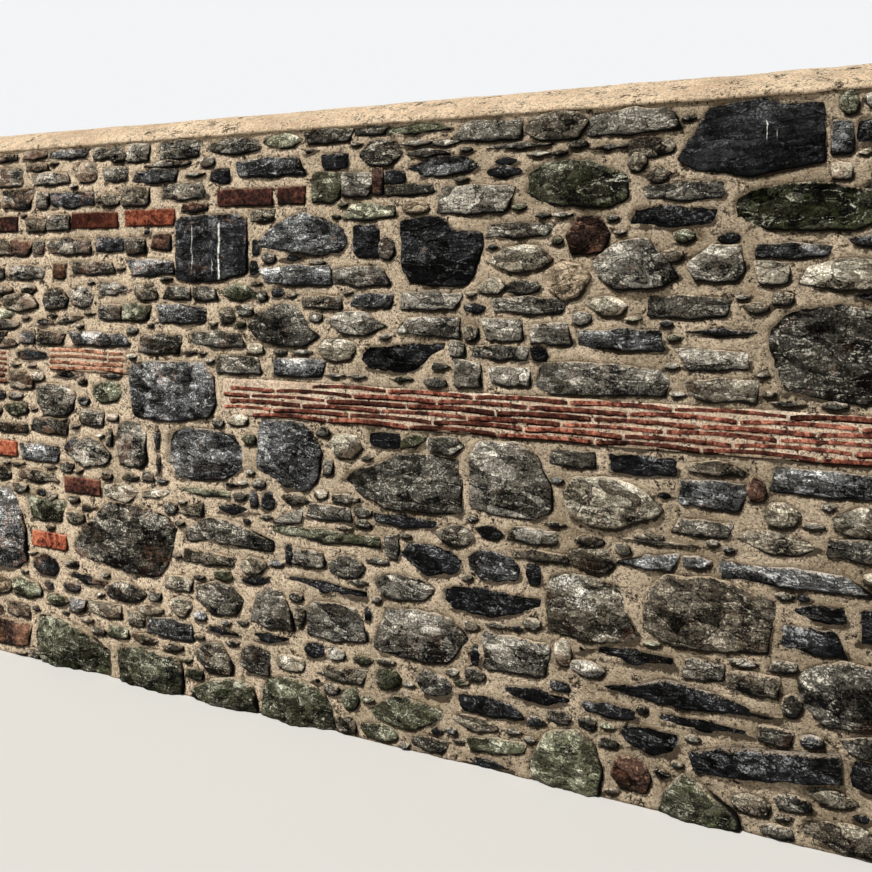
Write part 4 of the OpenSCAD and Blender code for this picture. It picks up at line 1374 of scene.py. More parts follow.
# Small stones of the seen face: left, right, bottom and top in centimetres, form, kind,
# and for a tilted one how much higher its right end lies
SMALL_STONES = (
    (-150, -135, 179.5, 182, SLAB, DARK), (-132, -120.5, 179.5, 182.5, SLAB, GREY),
    (-119.5, -100, 179, 182.5, SLAB, BLUE), (-98, -91, 178, 182, BLOCK, GREY),
    (-91, -83, 177, 182, LUMP, DARK), (-84, -73.5, 176.5, 182.5, BLOCK, GREY),
    (-69, -51.5, 176.5, 182.5, BLOCK, DARK), (-49.5, -30, 177, 182, LUMP, GREY),
    (-29, -13, 178, 182, LUMP, MOSSY), (-13, 4, 178.5, 182.5, SLAB, DARK),
    (5, 15.5, 180, 182.5, SLAB, DARK), (15, 36, 179.5, 182.5, SLAB, MOSSY),
    (36.5, 57, 176, 182, BLOCK, DARK), (58, 75.5, 175.5, 182.5, LUMP, BROWN),
    (75.5, 99.5, 175.5, 182.5, BLOCK, GREY), (137, 140.5, 177.5, 183, COBBLE, MOSSY),
    (135, 139.5, 168, 175.5, BLOCK, BLUE), (140, 150, 170, 176, BLOCK, BLACK),
    (135, 139, 162, 165.5, BLOCK, PALE), (-150, -132, 170, 177, BLOCK, GREY),
    (-130, -120, 175, 178, SLAB, BROWN), (-128, -110, 170, 174.5, BLOCK, GREY),
    (-107, -97, 170.5, 177.5, LUMP, BROWN), (-94, -83, 170, 175, BLOCK, GREY),
    (-81, -62.5, 169, 173.5, SLAB, BLUE), (-76, -55, 174, 176, FLAKE, DARK),
    (-58, -51, 170.5, 171.5, FLAKE, DARK), (-48.5, -41, 168, 172.5, BLOCK, BLACK),
    (-38, -13, 169, 175, SLAB, BLUE), (-7, 2, 170.5, 175, BLOCK, BLACK),
    (5, 21, 171, 178, LUMP, PALE), (20, 30, 176, 177.5, FLAKE, GREY),
    (30, 38, 175.5, 177, FLAKE, DARK), (22, 45, 167, 172.2, LUMP, BLUE),
    (22, 35, 172.7, 174.5, FLAKE, DARK), (47, 66, 173.5, 175, FLAKE, DARK),
    (49, 56, 169.5, 171, FLAKE, BLACK), (71, 75, 173, 174.5, FLAKE, DARK),
    (76, 86, 172, 173, FLAKE, GREY), (85, 98, 169.5, 174, LUMP, BROWN),
    (-142, -126, 162, 169, BLOCK, DARK), (-125, -119.5, 162, 168, BLOCK, GREY),
    (-119, -98.5, 161.5, 167.5, SLAB, BLACK), (-97, -86, 162, 166, LUMP, BROWN),
    (-86, -74, 161.5, 168, BLOCK, BROWN), (-69, -50, 163, 168.5, BLOCK, GREY),
    (-60, -50, 159, 161.5, SLAB, RUSTY), (-10, 0, 160.5, 169.5, BLOCK, MOSSY),
    (0.5, 10, 162, 169, BLOCK, GREY), (10.5, 14, 162.5, 170, UPRIGHT, RUSTY),
    (15, 21, 165.5, 169, BLOCK, BLACK), (15, 31, 161.5, 165, SLAB, DARK),
    (31.5, 55, 155.8, 164, BLOCK, GREY), (47, 57, 166, 168.5, LENS, BLACK),
    (86.5, 91, 166, 170, LUMP, BROWN), (90, 110, 158, 162.5, SLAB, DARK),
    (91, 97, 163, 166, FLAKE, BROWN), (140, 146, 158.5, 160, FLAKE, BLACK),
    (-130, -120.5, 153.5, 158.5, BLOCK, BROWN), (-120, -109.5, 154, 159.5, BLOCK, GREY),
    (1, 18, 155, 159.5, SLAB, MOSSY), (21, 29, 156.5, 159.5, LENS, TAN),
    (-33, -24, 155, 159, BLOCK, BROWN), (86, 109.5, 151, 156.5, SLAB, BLACK),
    (70, 81, 144.5, 154, LUMP, RUSTY), (-150, -138.5, 145, 151, BLOCK, BROWN),
    (-138, -128, 145, 150.5, BLOCK, RUSTY), (-127, -122, 145.5, 150.5, BLOCK, GREY),
    (-121, -100, 145, 151, BLOCK, GREY), (-98, -85, 145.5, 151.5, BLOCK, BLACK),
    (-84, -75.5, 145.5, 150.5, BLOCK, GREY), (-73, -65, 146.5, 152, BLOCK, RUSTY),
    (-32, -30, 145, 149, UPRIGHT, BLACK), (-33, -30.5, 138.5, 142.5, UPRIGHT, BLACK),
    (4.5, 13, 144, 153, BLOCK, BLACK), (13.5, 17.5, 143.5, 149, LUMP, DARK),
    (39, 44, 156.5, 158, FLAKE, RUSTY), (47, 66, 149, 153, SLAB, DARK),
    (48, 66, 139.5, 146.5, COBBLE, PALE), (98, 103, 147.2, 150, COBBLE, MOSSY),
    (95, 100, 142.5, 145, FLAKE, BROWN), (109, 114, 147, 149, LUMP, BLACK),
    (118, 135, 143, 146.5, SLAB, BLUE), (118, 125, 136.5, 142, BLOCK, PALE),
    (128, 148, 135.5, 142.5, LUMP, PALE), (138, 150, 146, 148, FLAKE, BLACK),
    (-140, -120.5, 136, 142, BLOCK, GREY), (-117, -111, 137, 142, BLOCK, RUSTY),
    (-109, -89, 138, 143, SLAB, DARK), (-84, -63.5, 138, 143.5, SLAB, BLUE),
    (-22, -14, 143, 144.3, FLAKE, BLACK), (-11, -6, 141.5, 143, FLAKE, BROWN),
    (-29, -3.5, 135, 141.5, SLAB, BLUE), (-3, 16, 135, 141, BLOCK, GREY),
    (64, 76, 132, 142, COBBLE, TAN), (44, 52, 133.5, 137.5, LENS, PALE),
    (52, 62, 133.5, 137, LENS, DARK), (48, 70, 128, 132.5, SLAB, GREY),
    (-150, -137, 131.5, 134, FLAKE, BROWN), (-133, -125.5, 131.5, 134.5, LENS, PALE),
    (-141, -125, 125, 131, LUMP, PALE), (-122, -110.5, 126, 133, LUMP, DARK),
    (-110, -98.5, 127, 134, LUMP, GREY), (-80, -70.5, 130, 135, LUMP, BROWN),
    (-67.5, -57, 130, 134.5, BLOCK, DARK), (-55, -46, 130, 134.5, BLOCK, DARK),
    (-44, -31, 130.5, 135, LUMP, MOSSY), (-30, -27, 130.5, 133, LUMP, DARK),
    (-13.5, 0, 128, 132, SLAB, BROWN), (3.5, 17, 128.5, 133, BLOCK, BLUE),
    (20, 39, 128.5, 133.5, SLAB, GREY), (75, 86, 128, 132.5, COBBLE, PALE),
    (91, 112, 127.5, 133.5, BLOCK, DARK), (115, 121, 129.5, 131.5, LENS, BROWN),
    (139, 150, 133, 134.5, FLAKE, BLACK), (-150, -137, 122, 125.3, LUMP, MOSSY),
    (-150, -134, 118, 121.5, LENS, GREY), (-129, -116, 120, 122, FLAKE, BLACK),
    (-115, -103, 121, 124, FLAKE, DARK, 2), (-96, -86, 122.5, 128, BLOCK, GREY),
    (-85, -73, 122.5, 128.5, BLOCK, MOSSY), (-70, -50, 122, 128.5, BLOCK, BLUE),
    (-45, -39.5, 123, 127.5, COBBLE, PALE), (-5, 15, 120.7, 127, LENS, GREY),
    (19, 38.5, 120.5, 126.5, BLOCK, GREY), (40, 44, 120, 124, LUMP, BROWN),
    (45.5, 57, 120, 126.5, BLOCK, GREY), (60, 71, 119.5, 125.5, BLOCK, GREY),
    (73, 95.5, 118.5, 124.5, BLOCK, BLUE), (101, 118, 123.5, 125, LENS, BLACK),
    (-150, -135, 111.5, 115, LENS, DARK), (-138, -120, 107.5, 111, LENS, BLACK),
    (-125, -112, 113.2, 118, BLOCK, DARK), (-111, -83, 113.5, 118.5, SLAB, BLUE),
    (-78, -60.5, 112, 118.5, BLOCK, DARK), (-57, -35.5, 115, 120, BLOCK, DARK),
    (-24, -20, 113.5, 115, FLAKE, GREY), (-17, -10, 114, 115.2, FLAKE, DARK),
    (-8, 4.5, 112.5, 118.5, COBBLE, PALE), (28, 34, 106.5, 108.8, LENS, GREY),
    (36, 40, 115.5, 119.5, UPRIGHT, GREY), (37, 45, 106.5, 114.5, BLOCK, GREY),
    (42, 58.5, 115, 119, SLAB, DARK), (47.5, 59, 108, 113, BLOCK, GREY),
    (59.5, 64, 115.5, 119, LUMP, BLACK), (98.5, 116, 114.5, 120, BLOCK, GREY),
    (101, 118, 106.8, 112.5, BLOCK, PALE), (121, 129, 106.7, 107.7, FLAKE, DARK),
    (133, 138, 106.7, 108, FLAKE, DARK), (-46, -29, 106.5, 112.5, BLOCK, DARK),
    (-25, -6, 107, 112.5, BLOCK, BLUE), (-120, -103, 102, 104, FLAKE, BLACK),
    (-94, -86, 103, 104, FLAKE, BLACK), (-106, -102, 100, 102, LUMP, BROWN),
    (-138, -127, 97, 103, BLOCK, PALE), (-127, -122, 100, 103.5, LUMP, GREY),
    (-99, -86, 94.5, 101, LUMP, MOSSY), (-150, -141, 92.5, 96, LUMP, BLACK),
    (-141, -130, 87.5, 91.5, LENS, MOSSY), (-104, -93.5, 86, 91.5, BLOCK, GREY),
    (-41, -34, 90.5, 93.5, LENS, PALE), (9, 19.5, 87.3, 92.3, BLOCK, BLACK),
    (20, 28, 87.5, 92, LUMP, MOSSY, 2), (28.5, 39.5, 87.3, 92, LUMP, DARK),
    (-4, 7, 83.3, 90, COBBLE, PALE), (65, 77.5, 86.8, 91.5, BLOCK, DARK),
    (80.5, 98.5, 86.5, 91.7, BLOCK, BLACK), (101, 115, 88.5, 91.5, LENS, BROWN),
    (121, 149, 85, 91.8, SLAB, BLUE), (-150, -130, 80.5, 84.5, SLAB, BROWN),
    (-128, -110, 81, 87.5, BLOCK, DARK), (-92, -90, 80, 85, UPRIGHT, GREY),
    (-71.5, -69.5, 80, 88, UPRIGHT, BLACK), (-71, -69, 72, 78, UPRIGHT, BLACK),
    (99.5, 115.5, 79.5, 86.5, BLOCK, BLUE), (116, 120, 83, 88, LUMP, RUSTY),
    (120, 128, 77, 82.5, COBBLE, BROWN), (135, 148, 76.7, 83, LUMP, PALE),
    (-133.5, -114.5, 71.5, 77.5, BLOCK, BLUE), (-112, -106, 76, 81, LUMP, BLACK, 2),
    (-33, -30.5, 65, 70, UPRIGHT, BLACK), (-28.5, -24, 65, 70, LUMP, BLACK),
    (-21, -12, 68, 70.5, LENS, BROWN), (-5.8, -3, 78, 82, UPRIGHT, DARK),
    (-3, 7, 70, 72, FLAKE, DARK), (98, 112, 72.5, 76.5, SLAB, DARK),
    (113, 132, 70.5, 75.5, LENS, BROWN), (134, 150, 70.5, 75.8, BLOCK, DARK),
    (88, 95, 70, 71.5, FLAKE, BROWN), (-150, -138, 63.5, 68, LUMP, BROWN),
    (-134.5, -115, 64, 68, SLAB, BROWN), (-126, -121, 59, 61.2, LUMP, BLACK),
    (-120, -115, 58, 61, LUMP, PALE), (-85, -78, 68.5, 70.5, LENS, PALE),
    (-76.5, -65, 63, 67, SLAB, PALE, 2), (-62, -41, 66.5, 69, SLAB, MOSSY),
    (-48, -30, 62, 64.5, LENS, BLACK), (-94, -78, 61, 66.5, LUMP, PALE),
    (-61, -51.5, 59.8, 64.5, WEDGE_LEFT, PALE, 2), (-24, -14, 61, 66.5, WEDGE_LEFT, GREY, 3),
    (-12, 3.5, 64, 68.5, BLOCK, GREY), (4.5, 10, 66.5, 68.5, FLAKE, DARK),
    (5, 10, 63, 65, LUMP, DARK), (11, 31, 65, 68, SLAB, BLACK), (30.5, 43, 61.5, 67, LUMP, PALE),
    (43.5, 51, 65, 68, LENS, BLACK), (53, 67, 65, 69, BLOCK, GREY),
    (54, 70, 60.5, 63, SLAB, BROWN), (70, 83, 59.5, 65.5, COBBLE, BROWN),
    (72, 80, 66.5, 69, LUMP, BROWN), (83.5, 99, 62.5, 67.5, WEDGE_LEFT, BLUE, 2),
    (83, 104, 69, 70, FLAKE, DARK), (109, 143, 62.3, 67, SLAB, BLUE),
    (-130, -111, 50, 59, BLOCK, MOSSY), (-24, 13, 57.3, 61, SLAB, MOSSY),
    (15, 19, 55, 62, UPRIGHT, DARK), (20, 39, 52, 60.5, LUMP, BLACK), (41, 56, 53, 61, LUMP, BLUE),
    (58.5, 62, 54, 59, UPRIGHT, BLACK), (-20, -17.8, 48.5, 54.5, UPRIGHT, BLACK),
    (-17, -6, 49, 54, BLOCK, GREY), (-4.5, 8.5, 47.5, 53.5, LENS, DARK),
    (9, 16, 53, 54.3, FLAKE, DARK), (10.5, 31, 43.8, 50.5, LENS, GREY),
    (126, 138, 54.5, 59.5, WEDGE_LEFT, BLACK), (124, 138, 47, 53, BLOCK, BLACK),
    (141, 150, 51, 59, BLOCK, BLACK), (-59, -38.5, 44, 48.5, SLAB, BROWN),
    (-36, -27, 43.8, 48.5, LUMP, BROWN), (-38, -25, 40.2, 43.3, LENS, BLACK, 1.5),
    (-22, 9, 40.8, 45.5, SLAB, BLACK, -1.5), (-47, -40, 40.5, 43, LUMP, MOSSY),
    (3, 9, 46, 47, FLAKE, DARK), (77, 98.5, 36.5, 40.5, SLAB, BLACK),
    (100.5, 110, 36, 41, BLOCK, GREY), (111, 123, 35, 40, BLOCK, BROWN),
    (124, 128, 31, 36, LUMP, DARK), (-127, -115, 31, 38, COBBLE, BLACK),
    (-111, -92, 30, 34, SLAB, BLACK, -1.5), (-93, -75, 27.5, 33.5, LENS, DARK),
    (-79, -68, 24.8, 27.3, FLAKE, PALE), (-64.5, -56, 26, 32, COBBLE, PALE),
    (-113, -105, 27, 29.5, LENS, BLACK), (-54, -36, 29, 39, LUMP, DARK),
    (-18, -13.5, 38, 39.8, LENS, DARK), (-16, -13, 30, 36, LENS, PALE),
    (7.8, 9.8, 35.5, 39.5, UPRIGHT, BLACK), (41.8, 44.3, 28, 34, UPRIGHT, BLACK),
    (45, 65, 28, 39, BLOCK, GREY), (66.5, 70.5, 33, 39.5, LUMP, PALE),
    (71, 80, 31.7, 35, LENS, GREY), (137, 150, 24.5, 29, LENS, DARK),
    (-150, -138, 21.5, 27.5, LUMP, TAN), (-137, -123, 22, 28.5, LUMP, MOSSY),
    (-120, -110, 21, 24.5, LENS, MOSSY), (-108.5, -102, 20.5, 25, BLOCK, BLUE),
    (-101, -86, 20.3, 25.5, BLOCK, PALE), (-83, -76, 19.5, 24, BLOCK, PALE),
    (-74.5, -55, 18, 24, SLAB, BLUE), (-53, -38, 22.5, 24.5, LENS, BLACK),
    (-37, -16, 23, 25.5, LENS, BLACK), (-13, -6, 21.5, 25.5, LUMP, BLACK),
    (12, 20, 16.8, 22, COBBLE, MOSSY), (25, 36, 17.5, 24, LUMP, GREY),
    (4, 11, 22.5, 24.5, LUMP, MOSSY), (12, 18, 24, 25, FLAKE, DARK),
    (40.5, 46, 24.5, 27, LUMP, DARK), (51, 72, 21.5, 25, LENS, BLACK),
    (74, 88, 21.5, 25, SLAB, BLACK), (84, 99, 14.5, 20.5, LUMP, BLACK),
    (93, 117, 23, 25.5, SLAB, BLACK), (-141, -129, 14, 19, BLOCK, BROWN),
    (-150, -128, 3, 13, BLOCK, RUSTY), (-92, -83, 14.5, 18, SLAB, MOSSY),
    (-81.5, -70, 14.5, 17, LUMP, BROWN), (-55, -40, 9.8, 19.5, COBBLE, PALE),
    (-37, -25, 12, 20.5, LUMP, DARK), (-23, -13, 16, 20, LUMP, PALE),
    (-9, 9, 16, 21.5, WEDGE_LEFT, PALE, 2), (0.5, 5.5, 8, 13.5, LUMP, MOSSY),
    (10, 33.5, 6.5, 14.5, LUMP, MOSSY), (38, 58, 15, 20, LUMP, BLACK),
    (37, 50, 10.5, 13.8, LENS, BROWN), (41, 58, 4.3, 9.5, SLAB, MOSSY, 2),
    (82, 92, 4, 12, LUMP, RUSTY), (112, 121, 5, 9.5, COBBLE, BROWN),
    (122, 130, 8, 11.5, LENS, DARK), (129, 141, 11.5, 14.8, LUMP, PALE),
    (139, 146, 16, 23, LUMP, BLACK), (7, 19, 1, 5.3, COBBLE, MOSSY), (24, 35, 1, 5, BLOCK, DARK),
    (38, 55, 0.3, 2.5, SLAB, BLACK), (128, 149, 0.8, 7.5, LUMP, BROWN),
    (-1.3, 5, 0.5, 5.5, LUMP, BROWN),
)


@dataclass
class Courser:
    """Fills the bare mortar of a side with stones, course by course."""

    low: float
    high: float
    top: float
    seed: int
    gap: float = 0.011
    pitch: float = 0.006
    first: float = 0.008
    step: float = 0.012
    taken: np.ndarray = field(init=False)

    def __post_init__(self) -> None:
        """Starts with nothing taken."""
        self.taken = np.zeros((int(self.top / self.pitch) + 1,
                               int((self.high - self.low) / self.pitch) + 1), bool)
        self.rng = np.random.default_rng(self.seed)

    def mark(self, outline: Outline) -> None:
        """Marks a stone and the joint round it as taken.

        Args:
            outline: The stone's outline.
        """
        far = outline.half * outline.radius.max() + self.gap
        low, high = outline.middle - far, outline.middle + far
        x0, x1 = (int(np.clip((x - self.low) / self.pitch, 0, self.taken.shape[1]))
                  for x in (low[0], high[0] + self.pitch))
        z0, z1 = (int(np.clip(z / self.pitch, 0, self.taken.shape[0]))
                  for z in (low[1], high[1] + self.pitch))
        if x1 <= x0 or z1 <= z0:
            return
        rows, columns = np.mgrid[z0:z1, x0:x1]
        spots = np.column_stack([(columns.ravel() + 0.5) * self.pitch + self.low,
                                 (rows.ravel() + 0.5) * self.pitch])
        self.taken[z0:z1, x0:x1] |= (outline.depth(spots) > -self.gap).reshape(rows.shape)

    def fill(self, heights: tuple[float, float], lengths: tuple[float, float], share: float,
             make: Callable[[Box], Outline]) -> None:
        """Lays stones of one size wherever they fit.

        Args:
            heights: Lowest and highest height of a stone.
            lengths: Shortest and longest length.
            share: How many of the places that fit are used, 0 to 1.
            make: Makes a stone in a box and gives its outline.
        """
        z = self.first
        while z < self.top - heights[0]:
            height = self.rng.uniform(*heights)
            if z + height < self.top:
                rows = slice(int(z / self.pitch), int((z + height) / self.pitch) + 1)
                free = (~self.taken[rows].any(axis=0)).astype(int)
                ends = np.flatnonzero(np.diff(free, prepend=0, append=0))
                for start, stop in zip(ends[::2], ends[1::2]):
                    self.lay(start * self.pitch + self.low, stop * self.pitch + self.low, z,
                             height, lengths, share, make)
            z += self.step

    def lay(self, left: float, right: float, z: float, height: float,
            lengths: tuple[float, float], share: float, make: Callable[[Box], Outline]) -> None:
        """Lays stones side by side in one free stretch of a course.

        Args:
            left: Left end of the stretch.
            right: Its right end.
            z: Underside of the course.
            height: Height of the course.
            lengths: Shortest and longest length.
            share: How many of the places are used, 0 to 1.
            make: Makes a stone in a box and gives its outline.
        """
        while right - left >= lengths[0]:
            length = min(self.rng.uniform(*lengths), right - left)
            if self.rng.random() < share:
                self.mark(make((left, left + length, z, z + height)))
            left += length + self.gap


@dataclass
class StoneFace:
    """The stones of one side of the wall, and the mortar between them."""

    side: Side
    name: str
    low: float
    high: float
    cell: float
    seed: int
    holes: list[Outline] = field(default_factory=list)
    stones: list[Stone] = field(default_factory=list)
    KINDS = (GREY, DARK, BLUE, BROWN, BLACK, GREY, MOSSY, PALE, DARK)
    FORMS = (BLOCK, SLAB, LUMP, BLOCK, LENS, SLAB, WEDGE_LEFT, WEDGE_RIGHT)
    # How far the pointing stops short of an end, how far an end's own lies in, and how thick it is
    TUCK = 0.045
    END_SUNK = 0.0105
    THICKEST_RELIEF = 0.007

    def small(self, box: Box, cut: Cut, kind: Kind, rise: float = 0.0) -> Outline:
        """Sets one small stone.

        Args:
            box: Left, right, bottom and top, in metres.
            cut: Its form.
            kind: What stone it is.
            rise: How much higher its right end lies, in metres.

        Returns:
            Its outline.
        """
        seed = self.seed + 17 * len(self.stones)
        rng = np.random.default_rng(seed)
        outline = Outline.of_form(box, cut, rise, rng).worn(seed * 0.13, 0.0028, 0.0018, 0.0082)
        proud = rng.uniform(0.002, 0.009)
        if kind is BLACK:
            proud = rng.uniform(-0.007, 0.003)
        ground = float(mortar_level(outline.middle[None])[0])
        seen = abs(outline.middle[0]) < SEEN_HIGH + 0.05
        cell = self.cell if seen else max(self.cell, UNSEEN_CELL)
        self.stones.append(Stone(outline, cut, kind, seed, proud, max(ground, -0.001), cell))
        return outline

    def seen_list(self) -> None:
        """Sets the small stones of the photographed stretch, and the solid ones past it."""
        for x0, x1, z0, z1, form, kind, *rise in SMALL_STONES:
            self.small((x0 * CM, x1 * CM, z0 * CM, z1 * CM), form.value, kind,
                       rise[0] * CM if rise else 0.0)
        rng = np.random.default_rng(self.seed)
        for corners in corners_of("masonry", HALF_THICKNESS + COURSE_PROUD):
            low, high = corners.min(axis=0), corners.max(axis=0)
            if max(abs(low[0]), abs(high[0])) > SEEN_HIGH + 0.04:
                self.small((low[0], high[0], low[1], high[1]),
                           self.FORMS[rng.integers(2)].value,
                           self.KINDS[rng.integers(len(self.KINDS))])

    def fill(self, top: float, sizes: tuple[tuple[float, ...], ...]) -> None:
        """Fills what is still bare.

        Args:
            top: Height up to which it is filled.
            sizes: Lowest and highest height, shortest and longest length, and share used.
        """
        courser = Courser(self.low, self.high, top, self.seed)
        for hole in self.holes:
            courser.mark(hole)
        for stone in self.stones:
            courser.mark(stone.outline)

        def make(box: Box) -> Outline:
            """Sets one stone of a random kind.

            Args:
                box: Left, right, bottom and top, in metres.

            Returns:
                Its outline.
            """
            kind = self.KINDS[courser.rng.integers(len(self.KINDS))]
            form = self.FORMS[courser.rng.integers(len(self.FORMS))]
            if box[3] - box[2] < 0.022:
                form = FLAKE if box[1] - box[0] > 0.04 else LUMP
            if kind is MOSSY and box[2] > 0.5 and courser.rng.random() < 0.6:
                kind = GREY
            return self.small(box, form.value, kind)

        for low, high, short, long, share in sizes:
            courser.fill((low, high), (short, long), share, make)
        log.info("%s: %d small stones", self.name, len(self.stones))

    def pieces(self, stands_for: str) -> None:
        """Makes one joined piece of the small stones of each kind.

        Args:
            stands_for: CAD node that they replace.
        """
        for kind in Kind:
            stones = [s for s in self.stones if s.kind is kind]
            if not stones:
                continue
            bench = Bench(f"{self.name}_{kind.name.lower()}_stones")
            for stone in stones:
                stone.build(bench, self.side.reach)
            bench.finish(kind.finish, stands_for, self.side)
            log.info("  from %d stones", len(stones))

    def nearness(self, spots: np.ndarray) -> tuple[np.ndarray, np.ndarray]:
        """How near places on the side are to its stones.

        Args:
            spots: The places.

        Returns:
            How far each lies inside a stone, in metres, and how close below one, from 0 to 1.
        """
        inside, below = np.full(len(spots), -1.0), np.zeros(len(spots))
        for outline in self.holes + [s.outline for s in self.stones]:
            reach = outline.half * outline.radius.max() + 0.03
            near = (np.abs(spots - outline.middle) < reach).all(axis=1)
            if near.any():
                depth = outline.depth(spots[near])
                inside[near] = np.maximum(inside[near], depth)
                # Below reaches down and a little to the right, where the key light's shadows fall;
                # the mortar paints its shadow from it
                under = (outline.middle - spots[near]) / outline.half @ np.array([-0.4, 1.0])
                below[near] = np.maximum(below[near], np.exp(np.minimum(depth, 0) / 0.009)
                                         * np.clip(under, 0, 1))
        return inside, below

    def mortar(self, along: list[tuple[float, float]], up: float, inward: bool = False) -> None:
        """Makes the sheet of pointing, as a closed slab.

        Args:
            along: Knots of distance along the side and the cell's width up to there.
            up: Height of a cell.
            inward: Whether the relief only goes in, which keeps an end within the wall.
        """
        tuck = 0.0 if inward else self.TUCK
        lines = [self.low + tuck]
        for stop, cell in along:
            stop = min(stop, self.high - tuck)
            steps = max(1, round((stop - lines[-1]) / cell))
            lines += list(np.linspace(lines[-1], stop, steps + 1)[1:])
        columns, rows = len(lines) - 1, round(MASONRY_HEIGHT / up)

        def shape(square: np.ndarray) -> tuple[np.ndarray, np.ndarray, dict]:
            """Dips the pointing behind each stone.

            Args:
                square: Spots of the square.

            Returns:
                Spots on the side, heights above it and own values.
            """
            x = np.interp((square[:, 0] + 1) / 2 * columns, np.arange(columns + 1), lines)
            z = (square[:, 1] + 1) / 2 * MASONRY_HEIGHT
            spots = np.column_stack([x, z])
            inside, below = self.nearness(spots)
            height = np.minimum(mortar_level(spots), self.THICKEST_RELIEF)
            worn = np.clip(height / 0.005, -1, 1)
            level = -self.END_SUNK if inward else 0.0
            if inward:
                height = level + 0.5 * height
            seam = np.exp(np.minimum(inside, 0) / 0.007)
            gaps = eased(RELIEF.at(on_face(spots, 3.0), 0.06, 2) + 0.5 * below, 0.0, 0.7)
            height -= 0.004 * seam * gaps
            drop = 0.003 * eased(inside, 0.0, 0.004) + 0.02 * eased(inside, 0.006, 0.015)
            border = np.minimum(x - lines[0], lines[-1] - x)
            height = level + (height - level) * eased(border, 0.0, 0.02) - drop
            return spots, height, {"seam": seam, "under": below, "worn": worn}

        bench = Bench(f"{self.name}_mortar")
        deep = SMALL_DEEP if inward else HALF_THICKNESS - 0.002
        bench.plate((columns, rows), self.side.reach, deep, shape)
        bench.finish(WALL_MORTAR, "masonry", self.side)


@dataclass
class LargeStones:
    """The stones that are nodes of the CAD model, on the seen face and repeated on the back."""

    stones: tuple[Named, ...] = NAMED_STONES
    # Where the noise of the outlines and the seeds start, and how proud the back's stones are
    LAYER, SEED, BACK_SEED = 900.0, 5000, 9000
    BACK_PROUD, FOOT_PROUD = 0.008, 0.017

    def outlines(self) -> dict[str, list[Outline]]:
        """Wears the outlines of the CAD model's solids.

        Returns:
            The outlines of each node's solids, by the node's name.
        """
        found = {}
        for number, named in enumerate(self.stones):
            found[named.node] = [
                Outline.through(corners).worn(self.LAYER + number * 3.1 + i, 0.004, 0.0022, 0.0055)
                for i, corners in enumerate(corners_of(named.node))]
        return found

    def build(self, outlines: dict[str, list[Outline]]) -> None:
        """Makes one piece for each node of the seen face.

        Args:
            outlines: The worn outlines by node.
        """
        for number, named in enumerate(self.stones):
            bench = Bench(named.node + "_face")
            for i, outline in enumerate(outlines[named.node]):
                shade = named.shade[i] if isinstance(named.shade, tuple) else named.shade
                cell = UNSEEN_CELL if "run" in named.node else LARGE_CELL
                stone = Stone(outline, named.cut, named.kind, self.SEED + 31 * number + i,
                              named.proud, 0.0, cell, shade)
                stone.build(bench, HALF_THICKNESS, LARGE_DEEP)
            bench.finish(named.finish or named.kind.finish, named.node)

    def build_back(self, outlines: dict[str, list[Outline]]) -> None:
        """Makes the large stones of the back, joined by kind.

        Args:
            outlines: The worn outlines by node.
        """
        for kind in Kind:
            chosen = [(number, named) for number, named in enumerate(self.stones)
                      if named.kind is kind]
            if not chosen:
                continue
            bench = Bench(f"back_large_{kind.name.lower()}_stones")
            for number, named in chosen:
                proud = self.FOOT_PROUD if "foot" in named.node else self.BACK_PROUD
                for i, outline in enumerate(outlines[named.node]):
                    seed = self.BACK_SEED + 29 * number + i
                    Stone(outline, named.cut, kind, seed, proud, 0.0, LARGE_BACK_CELL).build(
                        bench, HALF_THICKNESS, LARGE_DEEP)
            bench.finish(kind.finish, "back_stones", Side.BACK)


